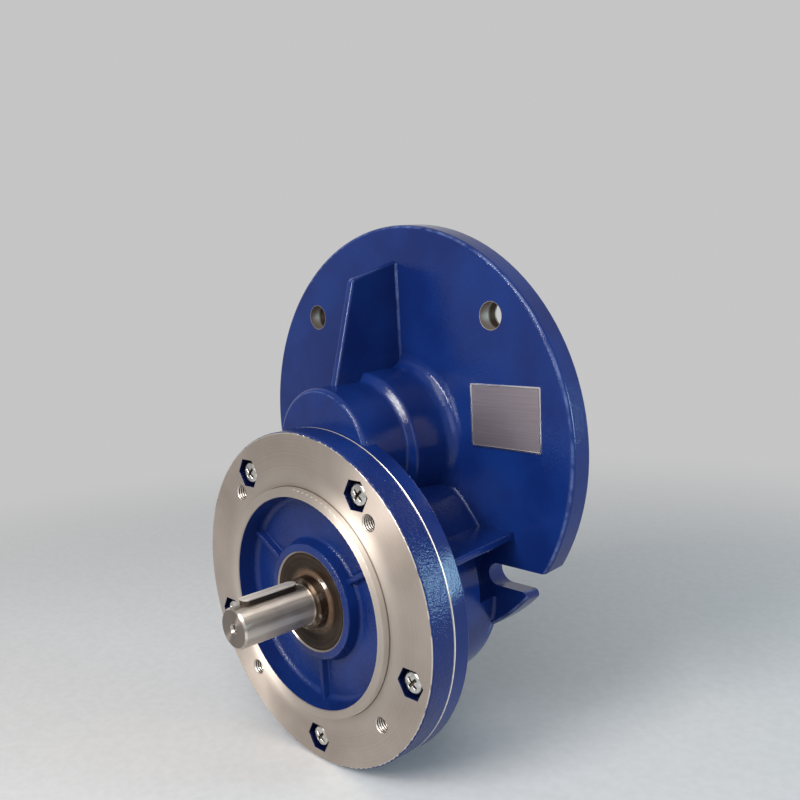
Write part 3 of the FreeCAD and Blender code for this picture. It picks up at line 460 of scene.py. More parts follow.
# Output cover
# A second casting, spigoted into the housing and carrying the output seal and front bearing. Its mounting
# face, where Y is 0, and its centring spigot are turned bare in a lathe, so the marks run round the shaft;
# recess, hub and rim stay blue.
SPIGOT_RADIUS = mount_size("output_spigot", "r_mm")
SPIGOT_TOP_Y = -mount_size("output_spigot", "length_mm")
RECESS_MOUTH = 0.05075
LIP_INNER = RECESS_MOUTH - 0.0011
LIP_Y = SPIGOT_TOP_Y + 0.0005
SEAL_BORE = 0.0240
SEAL_BORE_Y = 0.00095
COVER_EDGE = 0.0791
COVER_THIN_PAINT_HIGHLIGHT_REACH = COVER_EDGE - 0.00085
COVER_FACE_MARGIN = 0.00012
RIM_SCUFF_REACH = COVER_EDGE - 0.00005
RIM_SCUFF_Y = 0.00026
TAPPED_RADIUS = mount_size("output_bolts", "hole_r_mm")
TAPPED_REACH = mount_size("output_bolts", "pcd_mm") / 2 * math.sin(math.radians(45.0))
TAPPED_HOLES = [(x * TAPPED_REACH, z * TAPPED_REACH) for x, z in ((1, 1), (-1, 1), (-1, -1), (1, -1))]
POCKET_INNER = 0.05925
POCKET_OUTER = 0.07825
POCKET_MOUTH_Y = 0.0006
POCKET_FLOOR_Y = 0.0118
# Zone towards the spigot that is turned coarser and painted paler as a highlight
COARSE_HIGHLIGHT_INNER = 0.0565
COARSE_HIGHLIGHT_OUTER = 0.0660
ROOT_INNER = RECESS_MOUTH + 0.0025
ROOT_OUTER = SPIGOT_RADIUS + 0.00035
ROOT_TOP_Y = -0.00055
# Share of painted shade in the spigot's root
SPIGOT_ROOT_SHADE = 0.6
SCUFF_SHINE = 0.45
QUARTER_TURN = 0.25


def cover_cuts(tree):
    """Bare where the cover is cut: mounting face, spigot, seal bore, tapped holes, scuffed rim and parting
    face. The parting face is rubbed and its corner broken, the mounting face is coarser towards the spigot
    and painted paler there as a highlight, painted shade lies in the spigot's root and the screw pockets,
    and the enamel is painted paler on outward rounds, partly thin paint and partly a painted highlight."""
    place = grouped(tree, AXIS_REACH)
    reach, along = place["Reach"], place["Along"]
    face = all_of(tree, below(tree, along, COVER_FACE_MARGIN, FACE_BLEND), above(tree, reach, RECESS_MOUTH))
    lip = all_of(tree, below(tree, along, LIP_Y), above(tree, reach, LIP_INNER))
    bore = all_of(tree, below(tree, reach, SEAL_BORE + CUT_MARGIN),
                  above(tree, along, SEAL_BORE_Y, FINE_BLEND))
    parting = above(tree, along, PARTING_Y - PARTING_CHAMFER, FINE_BLEND)
    holes = drilled(tree, TAPPED_HOLES, TAPPED_RADIUS)
    rim = all_of(tree, above(tree, reach, RIM_SCUFF_REACH, FINE_BLEND),
                 below(tree, along, RIM_SCUFF_Y, FACE_BLEND))
    scuffed = all_of(tree, rim, rise(tree, patches(tree, 120.0, 3.0), 0.36, 0.50))
    # A painted shadow line in the spigot's root
    spigot_root = all_of(tree, face, above(tree, reach, ROOT_INNER, blend=0.0005),
                         below(tree, reach, ROOT_OUTER, blend=0.00015),
                         above(tree, along, ROOT_TOP_Y, blend=0.00025))
    # Paler enamel on the cover's outward rounds, partly thin paint and partly a painted highlight
    rounds = all_of(tree, marked(tree, "edge"), below(tree, reach, COVER_THIN_PAINT_HIGHLIGHT_REACH, blend=0.00025))
    # Painted shade in the screw pockets
    pockets = all_of(tree, above(tree, reach, POCKET_INNER, blend=0.00025),
                     below(tree, reach, POCKET_OUTER, blend=0.00025),
                     above(tree, along, POCKET_MOUTH_Y, blend=0.0004),
                     below(tree, along, POCKET_FLOOR_Y, blend=0.0002))
    return {"Bare": any_of(tree, face, lip, bore, parting, scuffed, holes),
            "Rubbed": any_of(tree, parting, figure(tree, "MULTIPLY", scuffed, SCUFF_SHINE)),
            "Edge": rounds,
            "Coarse": all_of(tree, face, rise(tree, reach, COARSE_HIGHLIGHT_OUTER, COARSE_HIGHLIGHT_INNER)),
            "Oiled": any_of(tree, pockets, figure(tree, "MULTIPLY", spigot_root, SPIGOT_ROOT_SHADE)),
            "Chamfer": rise(tree, along, PARTING_Y - PARTING_CHAMFER, PARTING_Y)}


def run_round_y(tree, shader, share):
    """Lets the finishing marks run round the piece's own Y axis, so that light fans out across them by that
    share."""
    tangent = shader_node(tree, "ShaderNodeTangent", direction_type="RADIAL", axis="Y").outputs["Tangent"]
    feed(tree, shader, {"Tangent": tangent, "Anisotropic": share, "Anisotropic Rotation": QUARTER_TURN})


cover_finish, cover_tree, cover_shader = enamelled(
    "blue_enamel_cover", cover_cuts, turning_axis_z=0.0, turning_pitch=0.0003, grain=1.0, cut_roughness=0.34)
run_round_y(cover_tree, cover_shader, share=0.9)
joined_skin("output_flange", "cover_casting", "housing", cover_finish)

# Tapped holes
# The four M8 holes in the mounting face, cut with a tap: a coarse V thread behind a short countersink.
# They are bare metal, a little brighter on the crests, with painted shade in the thread's roots and further
# in.
M8_PITCH = 0.00125
M8_CREST = 0.00335
M8_ROOT = 0.00398
M8_START = 0.00015
M8_DEPTH = 0.0122
SINK_START = 0.0002
SINK_SLOPE = 0.9
SLEEVE_ROWS = 110
SLEEVE_COLUMNS = 48
SLEEVE_WALL = 0.00001
SHADE_START_Y = 0.0025
SHADE_END_Y = 0.0090
CREST_DULL = (0.50, 0.45, 0.41, 1.0)
CREST_BRIGHT = (0.72, 0.67, 0.62, 1.0)
# Painted shade for the thread's roots
THREAD_ROOT_SHADE = (0.07, 0.06, 0.05, 1.0)
HOLE_SHADE = (0.05, 0.045, 0.04, 1.0)


def grid_faces(rows, columns, wrap_rows):
    """Quads between neighbours on a grid of points; columns always join up, rows do too if wrap_rows."""
    row = np.arange(rows if wrap_rows else rows - 1)[:, None]
    column = np.arange(columns)[None, :]
    below_row, beside = (row + 1) % rows, (column + 1) % columns
    corners = [line * columns + place for line, place in (
        (row, column), (row, beside), (below_row, beside), (below_row, column))]
    return np.stack(corners, -1).reshape(-1, 4)


def ring_angles(columns):
    """Even angles round a ring, as one row."""
    return np.linspace(0.0, 2 * np.pi, columns, endpoint=False)[None, :]


def round_y(radius, y, angle):
    """Points at a radius and an angle round the Y axis, at a place y along it."""
    return np.stack([radius * np.cos(angle), y, radius * np.sin(angle)], -1)


def surface_piece(name, points, faces, material, sunk=None):
    """A smooth mesh object from an array of points and one of quads; sunk marks each point from 0 to 1."""
    mesh = bpy.data.meshes.new(name)
    mesh.from_pydata(points.reshape(-1, 3).tolist(), [], faces.tolist())
    mesh.polygons.foreach_set("use_smooth", np.ones(len(mesh.polygons), bool))
    if sunk is not None:
        mesh.attributes.new("sunk", "FLOAT", "POINT").data.foreach_set("value", sunk.ravel())
    mesh.materials.append(material)
    made = bpy.data.objects.new(name, mesh)
    bpy.context.scene.collection.objects.link(made)
    return made


def v_wave(turns):
    """A triangle wave of the turn count: 0 at whole turns, 1 half way between them."""
    return 1.0 - np.abs(2.0 * (turns - np.floor(turns)) - 1.0)


def tapped_sleeve():
    """A tube wall whose inner radius follows a triangle wave of depth over pitch plus angle, or a cone at
    the mouth where that is wider; the wave is also how far each point is sunk."""
    depth = np.linspace(M8_START, M8_DEPTH, SLEEVE_ROWS)[:, None]
    angle = ring_angles(SLEEVE_COLUMNS)
    wave = v_wave(depth / M8_PITCH + angle / (2 * np.pi))
    thread = M8_CREST + (M8_ROOT - M8_CREST) * wave
    sink = M8_ROOT - np.clip(depth - SINK_START, 0.0, None) * SINK_SLOPE
    outer = np.full((2, SLEEVE_COLUMNS), M8_ROOT + SLEEVE_WALL)
    radius = np.vstack([np.maximum(thread, sink), outer])
    y = np.vstack([depth, [[M8_DEPTH]], [[M8_START]]]) + np.zeros_like(radius)
    sunk = np.vstack([np.where(thread < sink, 0.0, wave), np.zeros_like(outer)])
    return round_y(radius, y, angle), sunk


def gathered(points, faces, centres):
    """Copies of one surface at several centres, as one array of points and one of quads."""
    flat = points.reshape(-1, 3)
    moved = flat[None, :, :] + centres[:, None, :]
    steps = (np.arange(len(centres)) * len(flat))[:, None, None]
    return moved.reshape(-1, 3), (faces[None, :, :] + steps).reshape(-1, 4)


thread_finish, thread_tree, thread_shader = new_material("cut_thread")
swarf = rise(thread_tree, patches(thread_tree, 900.0, 3.0), 0.3, 0.7)
crest = two_tone(thread_tree, swarf, CREST_DULL, CREST_BRIGHT)
# Painted shade in the thread's roots
shaded_root = rise(thread_tree, marked(thread_tree, "sunk"), 0.25, 0.75)
fresh_cut = two_tone(thread_tree, shaded_root, crest, THREAD_ROOT_SHADE)
shade = rise(thread_tree, grouped(thread_tree, AXIS_REACH)["Along"], SHADE_START_Y, SHADE_END_Y)
feed(thread_tree, thread_shader, {
    "Base Color": two_tone(thread_tree, shade, fresh_cut, HOLE_SHADE),
    "Roughness": rise(thread_tree, swarf, -1.1, 2.6),
    "Metallic": 1.0})
sleeve, sleeve_sunk = tapped_sleeve()
sleeve_faces = grid_faces(SLEEVE_ROWS + 2, SLEEVE_COLUMNS, True)
tapped_centres = np.array([(x, 0.0, z) for x, z in TAPPED_HOLES])
tapped_threads = surface_piece("tapped_threads", *gathered(sleeve, sleeve_faces, tapped_centres),
                               thread_finish, np.tile(sleeve_sunk.ravel(), len(tapped_centres)))
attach(tapped_threads, "housing")

# Cover screws
# Five M6 pan head machine screws with a cross recess, cold headed and rolled, bright zinc plated.
# Each sits on a spring washer in a hexagonal pocket and holds the cover to the housing.
SCREW_REACH = 0.0687
SCREW_ANGLES = np.radians([-34.5, 34.5, 107.1, 180.0, 252.9])
HEAD_TOP_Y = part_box("cover_screws")[0].y
HEAD_RADIUS = 0.0053
HEAD_HEIGHT = 0.0040
HEAD_ROUND = 0.0013
DOME_FALL = 0.00035
SHOULDER_FALL = 0.0016
FOOT_ROUND = 0.0002
POLE_RADIUS = 0.0002
SHANK_RADIUS = 0.0030
SHANK_LENGTH = 0.0160
SHANK_CHAMFER = 0.0008
M6_PITCH = 0.0010
M6_THREAD_DEPTH = 0.00055
CROSS_LENGTH = 0.0060
CROSS_WIDTH = 0.0013
CROSS_DEPTH = 0.0022
CROSS_SLOPE = 0.45
CROSS_SIDE_BLEND = 0.00012
CROSS_END_BLEND = 0.00020
SCREW_COLUMNS = 128
DOME_ROWS = 56
SHOULDER_ROWS = 12
SHANK_ROWS = 65
ZINC_DULL = (0.46, 0.45, 0.42, 1.0)
ZINC_BRIGHT = (0.74, 0.73, 0.70, 1.0)
CROSS_SHADE = (0.095, 0.080, 0.066, 1.0)
ZINC_RELIEF = 0.000008


def smooth_step(value, start, end):
    """0 before start, 1 after end, and a cubic between."""
    share = np.clip((value - start) / (end - start), 0.0, 1.0)
    return share * share * (3.0 - 2.0 * share)


def pan_head_screw():
    """A profile turned round Y: domed head sunk by two crossed arms of sloping depth, then a threaded shank.
    An arm is a step across it times a step along it times a slope, and the deeper arm's share of the full
    depth is how far each point is sunk."""
    angle = ring_angles(SCREW_COLUMNS)
    level = np.zeros_like(angle)
    dome_radius = HEAD_RADIUS - HEAD_ROUND
    dome = np.linspace(POLE_RADIUS, dome_radius, DOME_ROWS)[:, None]
    swell = np.linspace(0.0, np.pi / 2, SHOULDER_ROWS)[1:, None]
    along = np.linspace(0.0, SHANK_LENGTH, SHANK_ROWS)[:, None]
    u = np.abs(dome * np.cos(angle - np.pi / 4))
    v = np.abs(dome * np.sin(angle - np.pi / 4))
    arms = []
    for out, aside in ((u, v), (v, u)):
        wide = smooth_step(aside, CROSS_WIDTH / 2 + CROSS_SIDE_BLEND, CROSS_WIDTH / 2 - CROSS_SIDE_BLEND)
        long = smooth_step(out, CROSS_LENGTH / 2 + CROSS_END_BLEND, CROSS_LENGTH / 2 - CROSS_END_BLEND)
        arms.append(wide * long * (1.0 - CROSS_SLOPE * out / (CROSS_LENGTH / 2)))
    recess = np.maximum(*arms)
    dome_y = HEAD_TOP_Y + DOME_FALL * (dome / dome_radius) ** 2 + CROSS_DEPTH * recess
    shoulder_y = HEAD_TOP_Y + DOME_FALL + SHOULDER_FALL * (1.0 - np.cos(swell))
    shoulder = HEAD_RADIUS - HEAD_ROUND * (1.0 - np.sin(swell))
    foot_y = HEAD_TOP_Y + HEAD_HEIGHT
    thread = SHANK_RADIUS - M6_THREAD_DEPTH * v_wave(along / M6_PITCH + angle / (2 * np.pi))
    thread = np.minimum(thread, SHANK_RADIUS - np.clip(along - SHANK_LENGTH + SHANK_CHAMFER, 0.0, None))
    profile = ((dome, dome_y), (shoulder, shoulder_y),
               (HEAD_RADIUS, foot_y - FOOT_ROUND), (HEAD_RADIUS - FOOT_ROUND, foot_y),
               (thread, foot_y + along), (POLE_RADIUS, foot_y + SHANK_LENGTH))
    radius = np.vstack([rows + level for rows, _ in profile])
    y = np.vstack([rows + level for _, rows in profile])
    sunk = np.zeros_like(radius)
    sunk[:DOME_ROWS] = recess
    return round_y(radius, y, angle), sunk


def capped_faces(rows, columns):
    """Grid quads, with the first and the last row each closed by a fan of quads across the ring."""
    first = np.arange(columns // 2 - 1)
    ring = np.stack([first, columns - 1 - first, columns - 2 - first, first + 1], -1)
    last = ring[:, ::-1] + (rows - 1) * columns
    return np.vstack([grid_faces(rows, columns, False), ring, last])


zinc_finish, zinc_tree, zinc_shader = new_material("bright_zinc")
zinc_clouds = rise(zinc_tree, patches(zinc_tree, 420.0, 3.0), 0.28, 0.72)
plated = two_tone(zinc_tree, zinc_clouds, ZINC_DULL, ZINC_BRIGHT)
cross_mask = rise(zinc_tree, marked(zinc_tree, "sunk"), 0.10, 0.55)
feed(zinc_tree, zinc_shader, {
    "Base Color": two_tone(zinc_tree, cross_mask, plated, CROSS_SHADE),
    "Roughness": rise(zinc_tree, patches(zinc_tree, 1500.0, 2.0), -0.45, 2.6),
    "Metallic": 1.0})
roughened(zinc_tree, zinc_shader, patches(zinc_tree, 2600.0, 2.0), ZINC_RELIEF)
screw, screw_sunk = pan_head_screw()
screw_faces = capped_faces(*screw_sunk.shape)
screw_centres = SCREW_REACH * np.stack([np.sin(SCREW_ANGLES), 0 * SCREW_ANGLES, np.cos(SCREW_ANGLES)], -1)
cover_screws = surface_piece("pan_head_screws", *gathered(screw, screw_faces, screw_centres), zinc_finish,
                             np.tile(screw_sunk.ravel(), len(screw_centres)))
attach(cover_screws, "housing")
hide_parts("cover_screws")


def dress(names, material):
    """Gives CAD nodes a finish."""
    for name in names:
        materials = frame["nodes"][name].data.materials
        materials.clear()
        materials.append(material)


dress(["cover_screw_washers"], zinc_finish)

# Output shaft and key
# A stepped shaft, turned and then ground, with an end-milled keyway and a centre hole from the lathe.
# The key is cut from drawn bar and pressed into its seat.
SHAFT_END_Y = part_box("output_shaft")[0].y
FACED_END_Y = SHAFT_END_Y + 0.00015
SHOULDER_Y = SHAFT_END_Y + mount_size("output_shaft_end", "length_mm")
GREASE_Y = SHOULDER_Y - 0.0005
GREASE_REACH = mount_size("output_shaft_end", "r_mm") + 0.0004
KEY_CROWN_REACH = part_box("output_key")[1].z - 0.00015
DRAWN_ALONG_Y = (1.0, 0.03, 1.0)
SHAFT_DULL = (0.48, 0.43, 0.38, 1.0)
SHAFT_BRIGHT = (0.62, 0.565, 0.505, 1.0)
SCUFF = (0.17, 0.14, 0.115, 1.0)
# Painted reflection: a dark and a bright band along the shaft
DARK_REFLECTION_BAND = (0.15, 0.135, 0.125, 1.0)
BRIGHT_REFLECTION_BAND = (0.90, 0.83, 0.75, 1.0)
GREASE = (0.085, 0.058, 0.040, 1.0)
FACED_END = (0.245, 0.208, 0.186, 1.0)
SCUFF_SHARE = 0.65
DARK_BAND_SHARE = 0.40
BRIGHT_BAND_SHARE = 0.75
STREAKS = 3
STREAK_START = -0.22
STREAK_WAVER = (1.0, 0.25, 1.0)

# In a streak's count from 0 to 1: the middle of a mark, and how far from it the mark ends and is full
DARK_BAND_STREAK = (0.50, 0.15, 0.04)
BRIGHT_BAND_STREAK = (0.72, 0.12, 0.03)

# Painted light: the key's sides are painted shaded and its crown painted lit
KEY_SIDE_SHADED_DULL = (0.060, 0.045, 0.036, 1.0)
KEY_SIDE_SHADED_BRIGHT = (0.12, 0.094, 0.075, 1.0)
KEY_CROWN_LIT_DULL = (0.72, 0.67, 0.61, 1.0)
KEY_CROWN_LIT_BRIGHT = (0.92, 0.87, 0.81, 1.0)
KEY_CROWN_DULLING = 0.25
KEY_RELIEF = 0.000004


def ground_steel(name, dull, bright, roughness, lines, relief, marks=None):
    """Steel finished round the Y axis: fine stripes across Y mixed with soft clouds. A function for marks
    takes the tree and the steel's colour, and gives the colour with the piece's own marks on it."""
    made, tree, shader = new_material(name)
    line = stripes(tree, grouped(tree, AXIS_REACH)["Along"], lines, 4.0)
    tone = two_level(tree, 0.75, line, patches(tree, 70.0, 3.0))
    colour = two_tone(tree, rise(tree, tone, 0.32, 0.66), dull, bright)
    feed(tree, shader, {
        "Base Color": marks(tree, colour) if marks else colour,
        "Roughness": figure(tree, "MULTIPLY_ADD", tone, 0.22, roughness),
        "Metallic": 1.0})
    roughened(tree, shader, line, relief)
    return made, tree, shader


def shaft_marks(tree, colour):
    """Scuffs drawn out along the shaft, grease past its shoulder, a dull faced end, and a painted reflection
    of
    a dark and a bright band along it: the angle round the axis, put out by noise, counts from 0 to 1 in each
    streak, and a mask rises near a middle."""
    place = grouped(tree, AXIS_REACH)
    reach, along = place["Reach"], place["Along"]
    scuffed = rise(tree, patches(tree, 620.0, 3.0, DRAWN_ALONG_Y), 0.42, 0.72)
    smeared = all_of(tree, above(tree, reach, GREASE_REACH, blend=0.0003),
                     above(tree, along, GREASE_Y, blend=0.0005),
                     rise(tree, patches(tree, 240.0, 4.0), 0.10, 0.50))
    faced = below(tree, along, FACED_END_Y, FINE_BLEND)
    across = coordinates(tree)
    turned_to = figure(tree, "ARCTAN2", across["X"], across["Z"])
    wavering = figure(tree, "MULTIPLY_ADD", patches(tree, 55.0, 2.0, STREAK_WAVER), 0.5, turned_to)
    counted = figure(tree, "MULTIPLY_ADD", wavering, STREAKS / (2 * math.pi), STREAK_START)
    streak = figure(tree, "FRACT", counted)
    # Painted reflection: dark and bright bands at fixed angles round the shaft
    dark_band, bright_band = (
        rise(tree, figure(tree, "ABSOLUTE", figure(tree, "SUBTRACT", streak, middle)), far, near)
        for middle, far, near in (DARK_BAND_STREAK, BRIGHT_BAND_STREAK))
    for mask, share, mark in ((scuffed, SCUFF_SHARE, SCUFF), (dark_band, DARK_BAND_SHARE, DARK_REFLECTION_BAND),
                              (bright_band, BRIGHT_BAND_SHARE, BRIGHT_REFLECTION_BAND), (smeared, 1.0, GREASE), (faced, 1.0, FACED_END)):
        colour = two_tone(tree, figure(tree, "MULTIPLY", mask, share), colour, mark)
    return colour


shaft_finish, shaft_tree, shaft_shader = ground_steel(
    "ground_shaft", SHAFT_DULL, SHAFT_BRIGHT, roughness=0.23, lines=6000.0, relief=0.00000003,
    marks=shaft_marks)
run_round_y(shaft_tree, shaft_shader, share=0.95)
joined_skin("output_shaft", "keyed_shaft", "output_train", shaft_finish)
dress(["gear_spacer"], shaft_finish)

key_finish, key_tree, key_shader = new_material("drawn_key")
drawn_lines = patches(key_tree, 2600.0, 3.0, DRAWN_ALONG_Y)
drawn_tone = rise(key_tree, drawn_lines, 0.25, 0.75)
key_crown = above(key_tree, grouped(key_tree, AXIS_REACH)["Reach"], KEY_CROWN_REACH, blend=0.00025)
# Painted light: shaded colour on the key's sides, lit colour on its crown
shaded_key_side = two_tone(key_tree, drawn_tone, KEY_SIDE_SHADED_DULL, KEY_SIDE_SHADED_BRIGHT)
lit_key_top = two_tone(key_tree, drawn_tone, KEY_CROWN_LIT_DULL, KEY_CROWN_LIT_BRIGHT)
key_rough = rise(key_tree, drawn_lines, -0.7, 2.2)
feed(key_tree, key_shader, {
    "Base Color": two_tone(key_tree, key_crown, shaded_key_side, lit_key_top),
    "Roughness": figure(key_tree, "MULTIPLY_ADD", key_crown, KEY_CROWN_DULLING, key_rough),
    "Metallic": 1.0})
roughened(key_tree, key_shader, drawn_lines, KEY_RELIEF)
joined_skin("output_key", "shaft_key", "output_train", key_finish)
dress(["gear_key"], key_finish)

# Gear pair
# A hollow pinion shaft and a keyed wheel, hobbed with helical teeth, case hardened and ground on the flanks.
# Both run in oil, so the steel is clean and grey.
GEAR_DULL = (0.30, 0.295, 0.29, 1.0)
GEAR_BRIGHT = (0.52, 0.51, 0.50, 1.0)
gear_finish, _, _ = ground_steel(
    "ground_gear_steel", GEAR_DULL, GEAR_BRIGHT, roughness=0.22, lines=1500.0, relief=0.000005)
joined_skin("input_pinion", "hollow_pinion", "input_train", gear_finish)
dress(["output_gear"], gear_finish)

# Rolling bearings
# Four deep groove ball bearings, two on each shaft. Their rings and balls are hardened steel, ground and
# polished, and a cage pressed from sheet steel keeps the balls apart.
BEARING_DULL = (0.52, 0.52, 0.53, 1.0)
BEARING_BRIGHT = (0.72, 0.72, 0.73, 1.0)
CAGE_DULL = (0.38, 0.36, 0.33, 1.0)
CAGE_BRIGHT = (0.58, 0.55, 0.51, 1.0)
bearing_finish, _, _ = ground_steel(
    "polished_bearing_steel", BEARING_DULL, BEARING_BRIGHT, roughness=0.06, lines=3200.0, relief=0.000001)
cage_finish, _, _ = ground_steel(
    "pressed_cage", CAGE_DULL, CAGE_BRIGHT, roughness=0.30, lines=500.0, relief=0.000004)
for bearing in ("output_front_bearing", "output_rear_bearing", "input_front_bearing", "input_rear_bearing"):
    dress([bearing + "_outer_ring", bearing + "_inner_ring", bearing + "_balls"], bearing_finish)
    dress([bearing + "_cage"], cage_finish)

# Circlips and garter springs
# Circlips stamped from spring steel hold the bearings in place, and a coiled spring presses each seal's lip
# on its shaft. All are blackened by hardening in oil.
SPRING_BLACK = (0.045, 0.042, 0.04, 1.0)
SPRING_GREY = (0.13, 0.12, 0.11, 1.0)
SPRING_METALLIC = 0.9
SPRING_RELIEF = 0.000006
spring_finish, spring_tree, spring_shader = new_material("oil_blackened_spring")
spring_clouds = rise(spring_tree, patches(spring_tree, 500.0, 3.0), 0.3, 0.7)
feed(spring_tree, spring_shader, {
    "Base Color": two_tone(spring_tree, spring_clouds, SPRING_BLACK, SPRING_GREY),
    "Roughness": rise(spring_tree, spring_clouds, -0.9, 2.4),
    "Metallic": SPRING_METALLIC})
roughened(spring_tree, spring_shader, patches(spring_tree, 3000.0, 2.0), SPRING_RELIEF)
dress(["output_circlip", "pinion_circlip", "input_bearing_circlip"], spring_finish)
dress(["output_seal_spring", "input_seal_spring"], spring_finish)

# Oil seals and cover ring
# Moulded nitrile rubber, dark brown-black. The seals are greased where the lips run, and the outside face
# has the rings left by its mould; the cover's ring is plain and clean.
GREASED_DARK = (0.0120, 0.0075, 0.0050, 1.0)
GREASED_PALE = (0.115, 0.069, 0.042, 1.0)
MOULDED_DARK = (0.011, 0.009, 0.008, 1.0)
MOULDED_PALE = (0.05, 0.036, 0.03, 1.0)
NITRILE_ROUGHNESS = 0.18
NITRILE_DULLING = 0.38
NITRILE_SPECULAR = 0.12
NITRILE_RELIEF = 0.00012
GREASE_ROUGHNESS = 0.14


def nitrile(name, axis_z, dark, pale, grease_full, grease_end):
    """Rubber with mould rings: stripes on the reach from the axis with smears over them, paler towards the
    shaft and coated with patches of grease there."""
    made, tree, shader = new_material(name)
    reach = grouped(tree, AXIS_REACH, {"Axis Z": axis_z})["Reach"]
    ring = stripes(tree, reach, 620.0, 2.0)
    smear = patches(tree, 150.0, 4.0)
    near = rise(tree, reach, grease_end, grease_full)
    moulding = figure(tree, "MULTIPLY", figure(tree, "ADD", ring, smear), 0.28)
    tone = figure(tree, "MULTIPLY_ADD", near, 0.55, moulding)
    feed(tree, shader, {
        "Base Color": two_tone(tree, rise(tree, tone, 0.15, 0.95), dark, pale),
        "Roughness": figure(tree, "MULTIPLY_ADD", smear, NITRILE_DULLING, NITRILE_ROUGHNESS),
        "Specular IOR Level": NITRILE_SPECULAR,
        "Coat Weight": all_of(tree, near, rise(tree, patches(tree, 330.0, 3.0), 0.38, 0.60)),
        "Coat Roughness": GREASE_ROUGHNESS})
    roughened(tree, shader, figure(tree, "MULTIPLY_ADD", smear, 0.4, ring), NITRILE_RELIEF)
    return made


output_seal_finish = nitrile("greased_nitrile", axis_z=0.0, dark=GREASED_DARK, pale=GREASED_PALE,
                             grease_full=0.0125, grease_end=0.0175)
input_seal_finish = nitrile("moulded_nitrile", axis_z=INPUT_AXIS_Z, dark=MOULDED_DARK, pale=MOULDED_PALE,
                            grease_full=0.016, grease_end=0.022)
joined_skin("output_oil_seal", "output_lip_seal", "housing", output_seal_finish)
joined_skin("input_oil_seal", "input_lip_seal", "housing", input_seal_finish)
dress(["cover_o_ring"], input_seal_finish)

# Name plate
# A thin aluminium plate stuck on the motor flange. It is brushed lengthwise and bare, with a rolled border
# that stands a little proud and carries a painted highlight.
PLATE_LOW, PLATE_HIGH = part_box("name_plate")
PLATE_BORDER = 0.0008
BRUSHED_ALONG_X = (0.02, 1.0, 1.0)
PLATE_DULL = (0.345, 0.298, 0.322, 1.0)
PLATE_BRIGHT = (0.41, 0.36, 0.386, 1.0)
# Painted highlight along the plate's raised border
BORDER_HIGHLIGHT = (0.86, 0.84, 0.82, 1.0)
PLATE_ROUGHNESS = 0.42
BORDER_ROUGHNESS = 0.22
BRUSHING_SHARE = 0.05
PLATE_RELIEF = 0.00006
plate_finish, plate_tree, plate_shader = new_material("brushed_plate")
plate_place = coordinates(plate_tree)
inner_edges = []
for axis, low, high in (("X", PLATE_LOW.x, PLATE_HIGH.x), ("Z", PLATE_LOW.z, PLATE_HIGH.z)):
    off_low = figure(plate_tree, "SUBTRACT", plate_place[axis], low)
    off_high = figure(plate_tree, "SUBTRACT", high, plate_place[axis])
    inner_edges.append(figure(plate_tree, "MINIMUM", off_low, off_high))
border = below(plate_tree, figure(plate_tree, "MINIMUM", *inner_edges), PLATE_BORDER, blend=0.00015)
brushing = patches(plate_tree, 2400.0, 3.0, BRUSHED_ALONG_X)
field = two_tone(plate_tree, rise(plate_tree, brushing, 0.25, 0.75), PLATE_DULL, PLATE_BRIGHT)
feed(plate_tree, plate_shader, {
    # The border takes the painted highlight colour
    "Base Color": two_tone(plate_tree, border, field, BORDER_HIGHLIGHT),
    "Roughness": two_level(plate_tree, border, PLATE_ROUGHNESS, BORDER_ROUGHNESS),
    "Metallic": 1.0})
plate_height = figure(plate_tree, "MULTIPLY_ADD", brushing, BRUSHING_SHARE, border)
roughened(plate_tree, plate_shader, plate_height, PLATE_RELIEF)
dress(["name_plate"], plate_finish)

# Floor and light
# A plain pale studio floor that fades into an even pale backdrop, a broad soft lamp overhead in front, a
# bright strip below it, weak lamps low in front and on the right, and a cool one behind on the right.
FLOOR_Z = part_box("gear_housing")[0].z - 0.0003
FLOOR_RADIUS = 2.4
FLOOR_ROWS = 24
FLOOR_COLUMNS = 96
FADE_START = 0.30
FADE_END = 0.75
FLOOR_DULL = (0.54, 0.54, 0.54, 1.0)
FLOOR_PALE = (0.58, 0.58, 0.58, 1.0)
FLOOR_ROUGHNESS = 0.9
FLOOR_SPECULAR = 0.1
BACKDROP = (0.56, 0.56, 0.56, 1.0)
AMBIENT = (0.36, 0.36, 0.37, 1.0)
sweep = ring_angles(FLOOR_COLUMNS)
floor_reach = np.linspace(0.001, 1.0, FLOOR_ROWS)[:, None] ** 2 * FLOOR_RADIUS
floor_x, floor_y = floor_reach * np.cos(sweep), floor_reach * np.sin(sweep)
floor_points = np.stack([floor_x, floor_y, np.full_like(floor_x, FLOOR_Z)], -1)
floor_finish, floor_tree, floor_shader = new_material("pale_floor")
floor_span = shader_node(floor_tree, "ShaderNodeVectorMath", {0: placed(floor_tree)}, operation="LENGTH")
floor_grain = rise(floor_tree, patches(floor_tree, 220.0, 4.0), 0.2, 0.8)
feed(floor_tree, floor_shader, {
    "Base Color": two_tone(floor_tree, floor_grain, FLOOR_DULL, FLOOR_PALE),
    "Alpha": rise(floor_tree, floor_span.outputs["Value"], FADE_END, FADE_START),
    "Roughness": FLOOR_ROUGHNESS,
    "Specular IOR Level": FLOOR_SPECULAR})
floor = surface_piece("floor", floor_points, grid_faces(FLOOR_ROWS, FLOOR_COLUMNS, False), floor_finish)

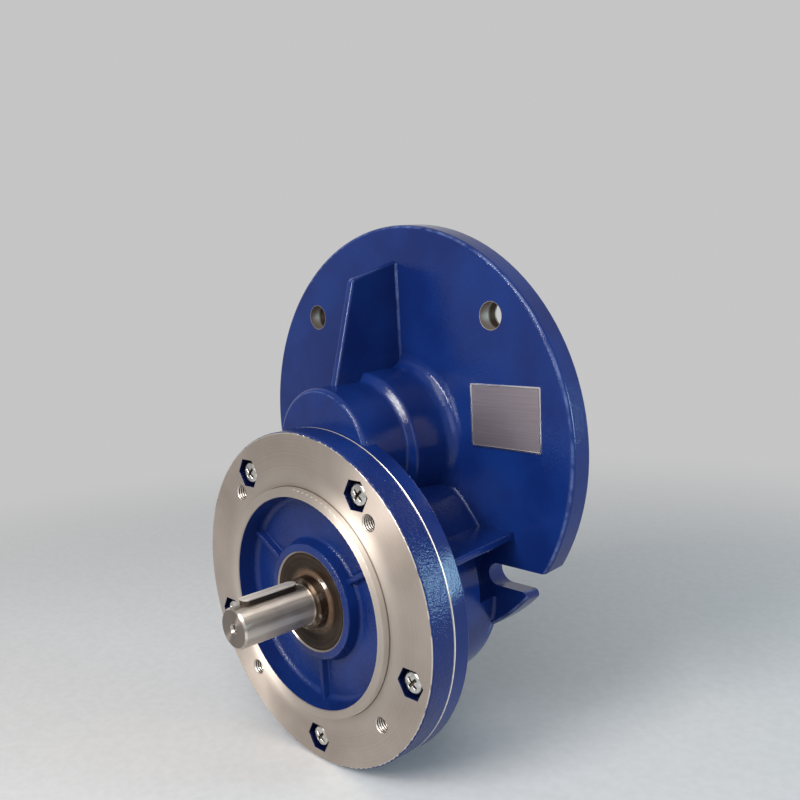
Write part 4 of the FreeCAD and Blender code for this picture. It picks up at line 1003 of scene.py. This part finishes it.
studio = bpy.data.worlds.new("studio")
bpy.context.scene.world = studio
studio.use_nodes = True
sky_tree = studio.node_tree
sky_tree.nodes.clear()
rays = shader_node(sky_tree, "ShaderNodeLightPath").outputs
seen = any_of(sky_tree, rays["Is Camera Ray"], rays["Is Glossy Ray"], rays["Is Transmission Ray"])
sky = shader_node(sky_tree, "ShaderNodeBackground", {
    "Color": two_tone(sky_tree, seen, AMBIENT, BACKDROP),
    "Strength": 1.0})
feed(sky_tree, sky_tree.nodes.new("ShaderNodeOutputWorld"), {"Surface": sky.outputs[0]})


def soft_lamp(name, place, aim, size, watts, colour, turn=0.0):
    """A soft box of that width and height at place that faces aim, turned about its own middle."""
    lamp = bpy.data.lights.new(name, "AREA")
    lamp.shape = "RECTANGLE"
    lamp.size, lamp.size_y = size
    lamp.energy = watts
    lamp.color = colour
    made = bpy.data.objects.new(name, lamp)
    made.location = place
    way = [a - p for a, p in zip(aim, place)]
    tilt = math.pi / 2 + math.atan2(way[2], math.hypot(way[0], way[1]))
    heading = math.atan2(way[1], way[0]) - math.pi / 2
    facing = Euler((tilt, 0.0, heading)).to_matrix()
    made.rotation_euler = (facing @ Matrix.Rotation(turn, 3, "Z")).to_euler()
    made.visible_camera = False
    bpy.context.scene.collection.objects.link(made)


soft_lamp("strip_lamp", place=(0.055, -0.87, 0.60), aim=(0.02, 0.04, 0.08), size=(0.50, 0.11), watts=7.8,
          colour=(1.0, 0.97, 0.93), turn=-0.68)
soft_lamp("front_lamp", place=(-0.12, -1.00, 0.20), aim=(0.0, 0.0, 0.02), size=(0.42, 0.12), watts=1.25,
          colour=(1.0, 0.96, 0.91))
soft_lamp("side_lamp", place=(0.80, -0.72, 0.36), aim=(0.0, 0.0, 0.02), size=(0.55, 0.55), watts=1.9,
          colour=(0.96, 0.98, 1.0))
soft_lamp("right_lamp", place=(0.99, 0.71, 0.18), aim=(0.0, 0.04, 0.02), size=(0.40, 0.40), watts=8.2,
          colour=(0.48, 0.82, 1.0))
soft_lamp("top_lamp", place=(0.34, -0.56, 0.86), aim=(0.0, 0.03, 0.02), size=(0.85, 0.46), watts=5.6,
          colour=(0.97, 0.98, 1.0))

# Camera
# Stands low on the output side and to the right, level with the motor flange, and rolled a little as in the
# picture. Its lens and shift give the picture's framing.
eye = bpy.data.cameras.new("camera")
eye.sensor_width = 36.0
eye.lens = 41.2157
eye.shift_x = 0.07838
eye.shift_y = 0.11416
eye.clip_start = 0.01
camera = bpy.data.objects.new("camera", eye)
camera.location = (0.319861, -0.240975, 0.148966)
camera.rotation_euler = [math.radians(turn) for turn in (76.32487, 3.99630, 49.54394)]
bpy.context.scene.collection.objects.link(camera)
bpy.context.scene.camera = camera
bpy.context.scene.view_settings.view_transform = "Standard"
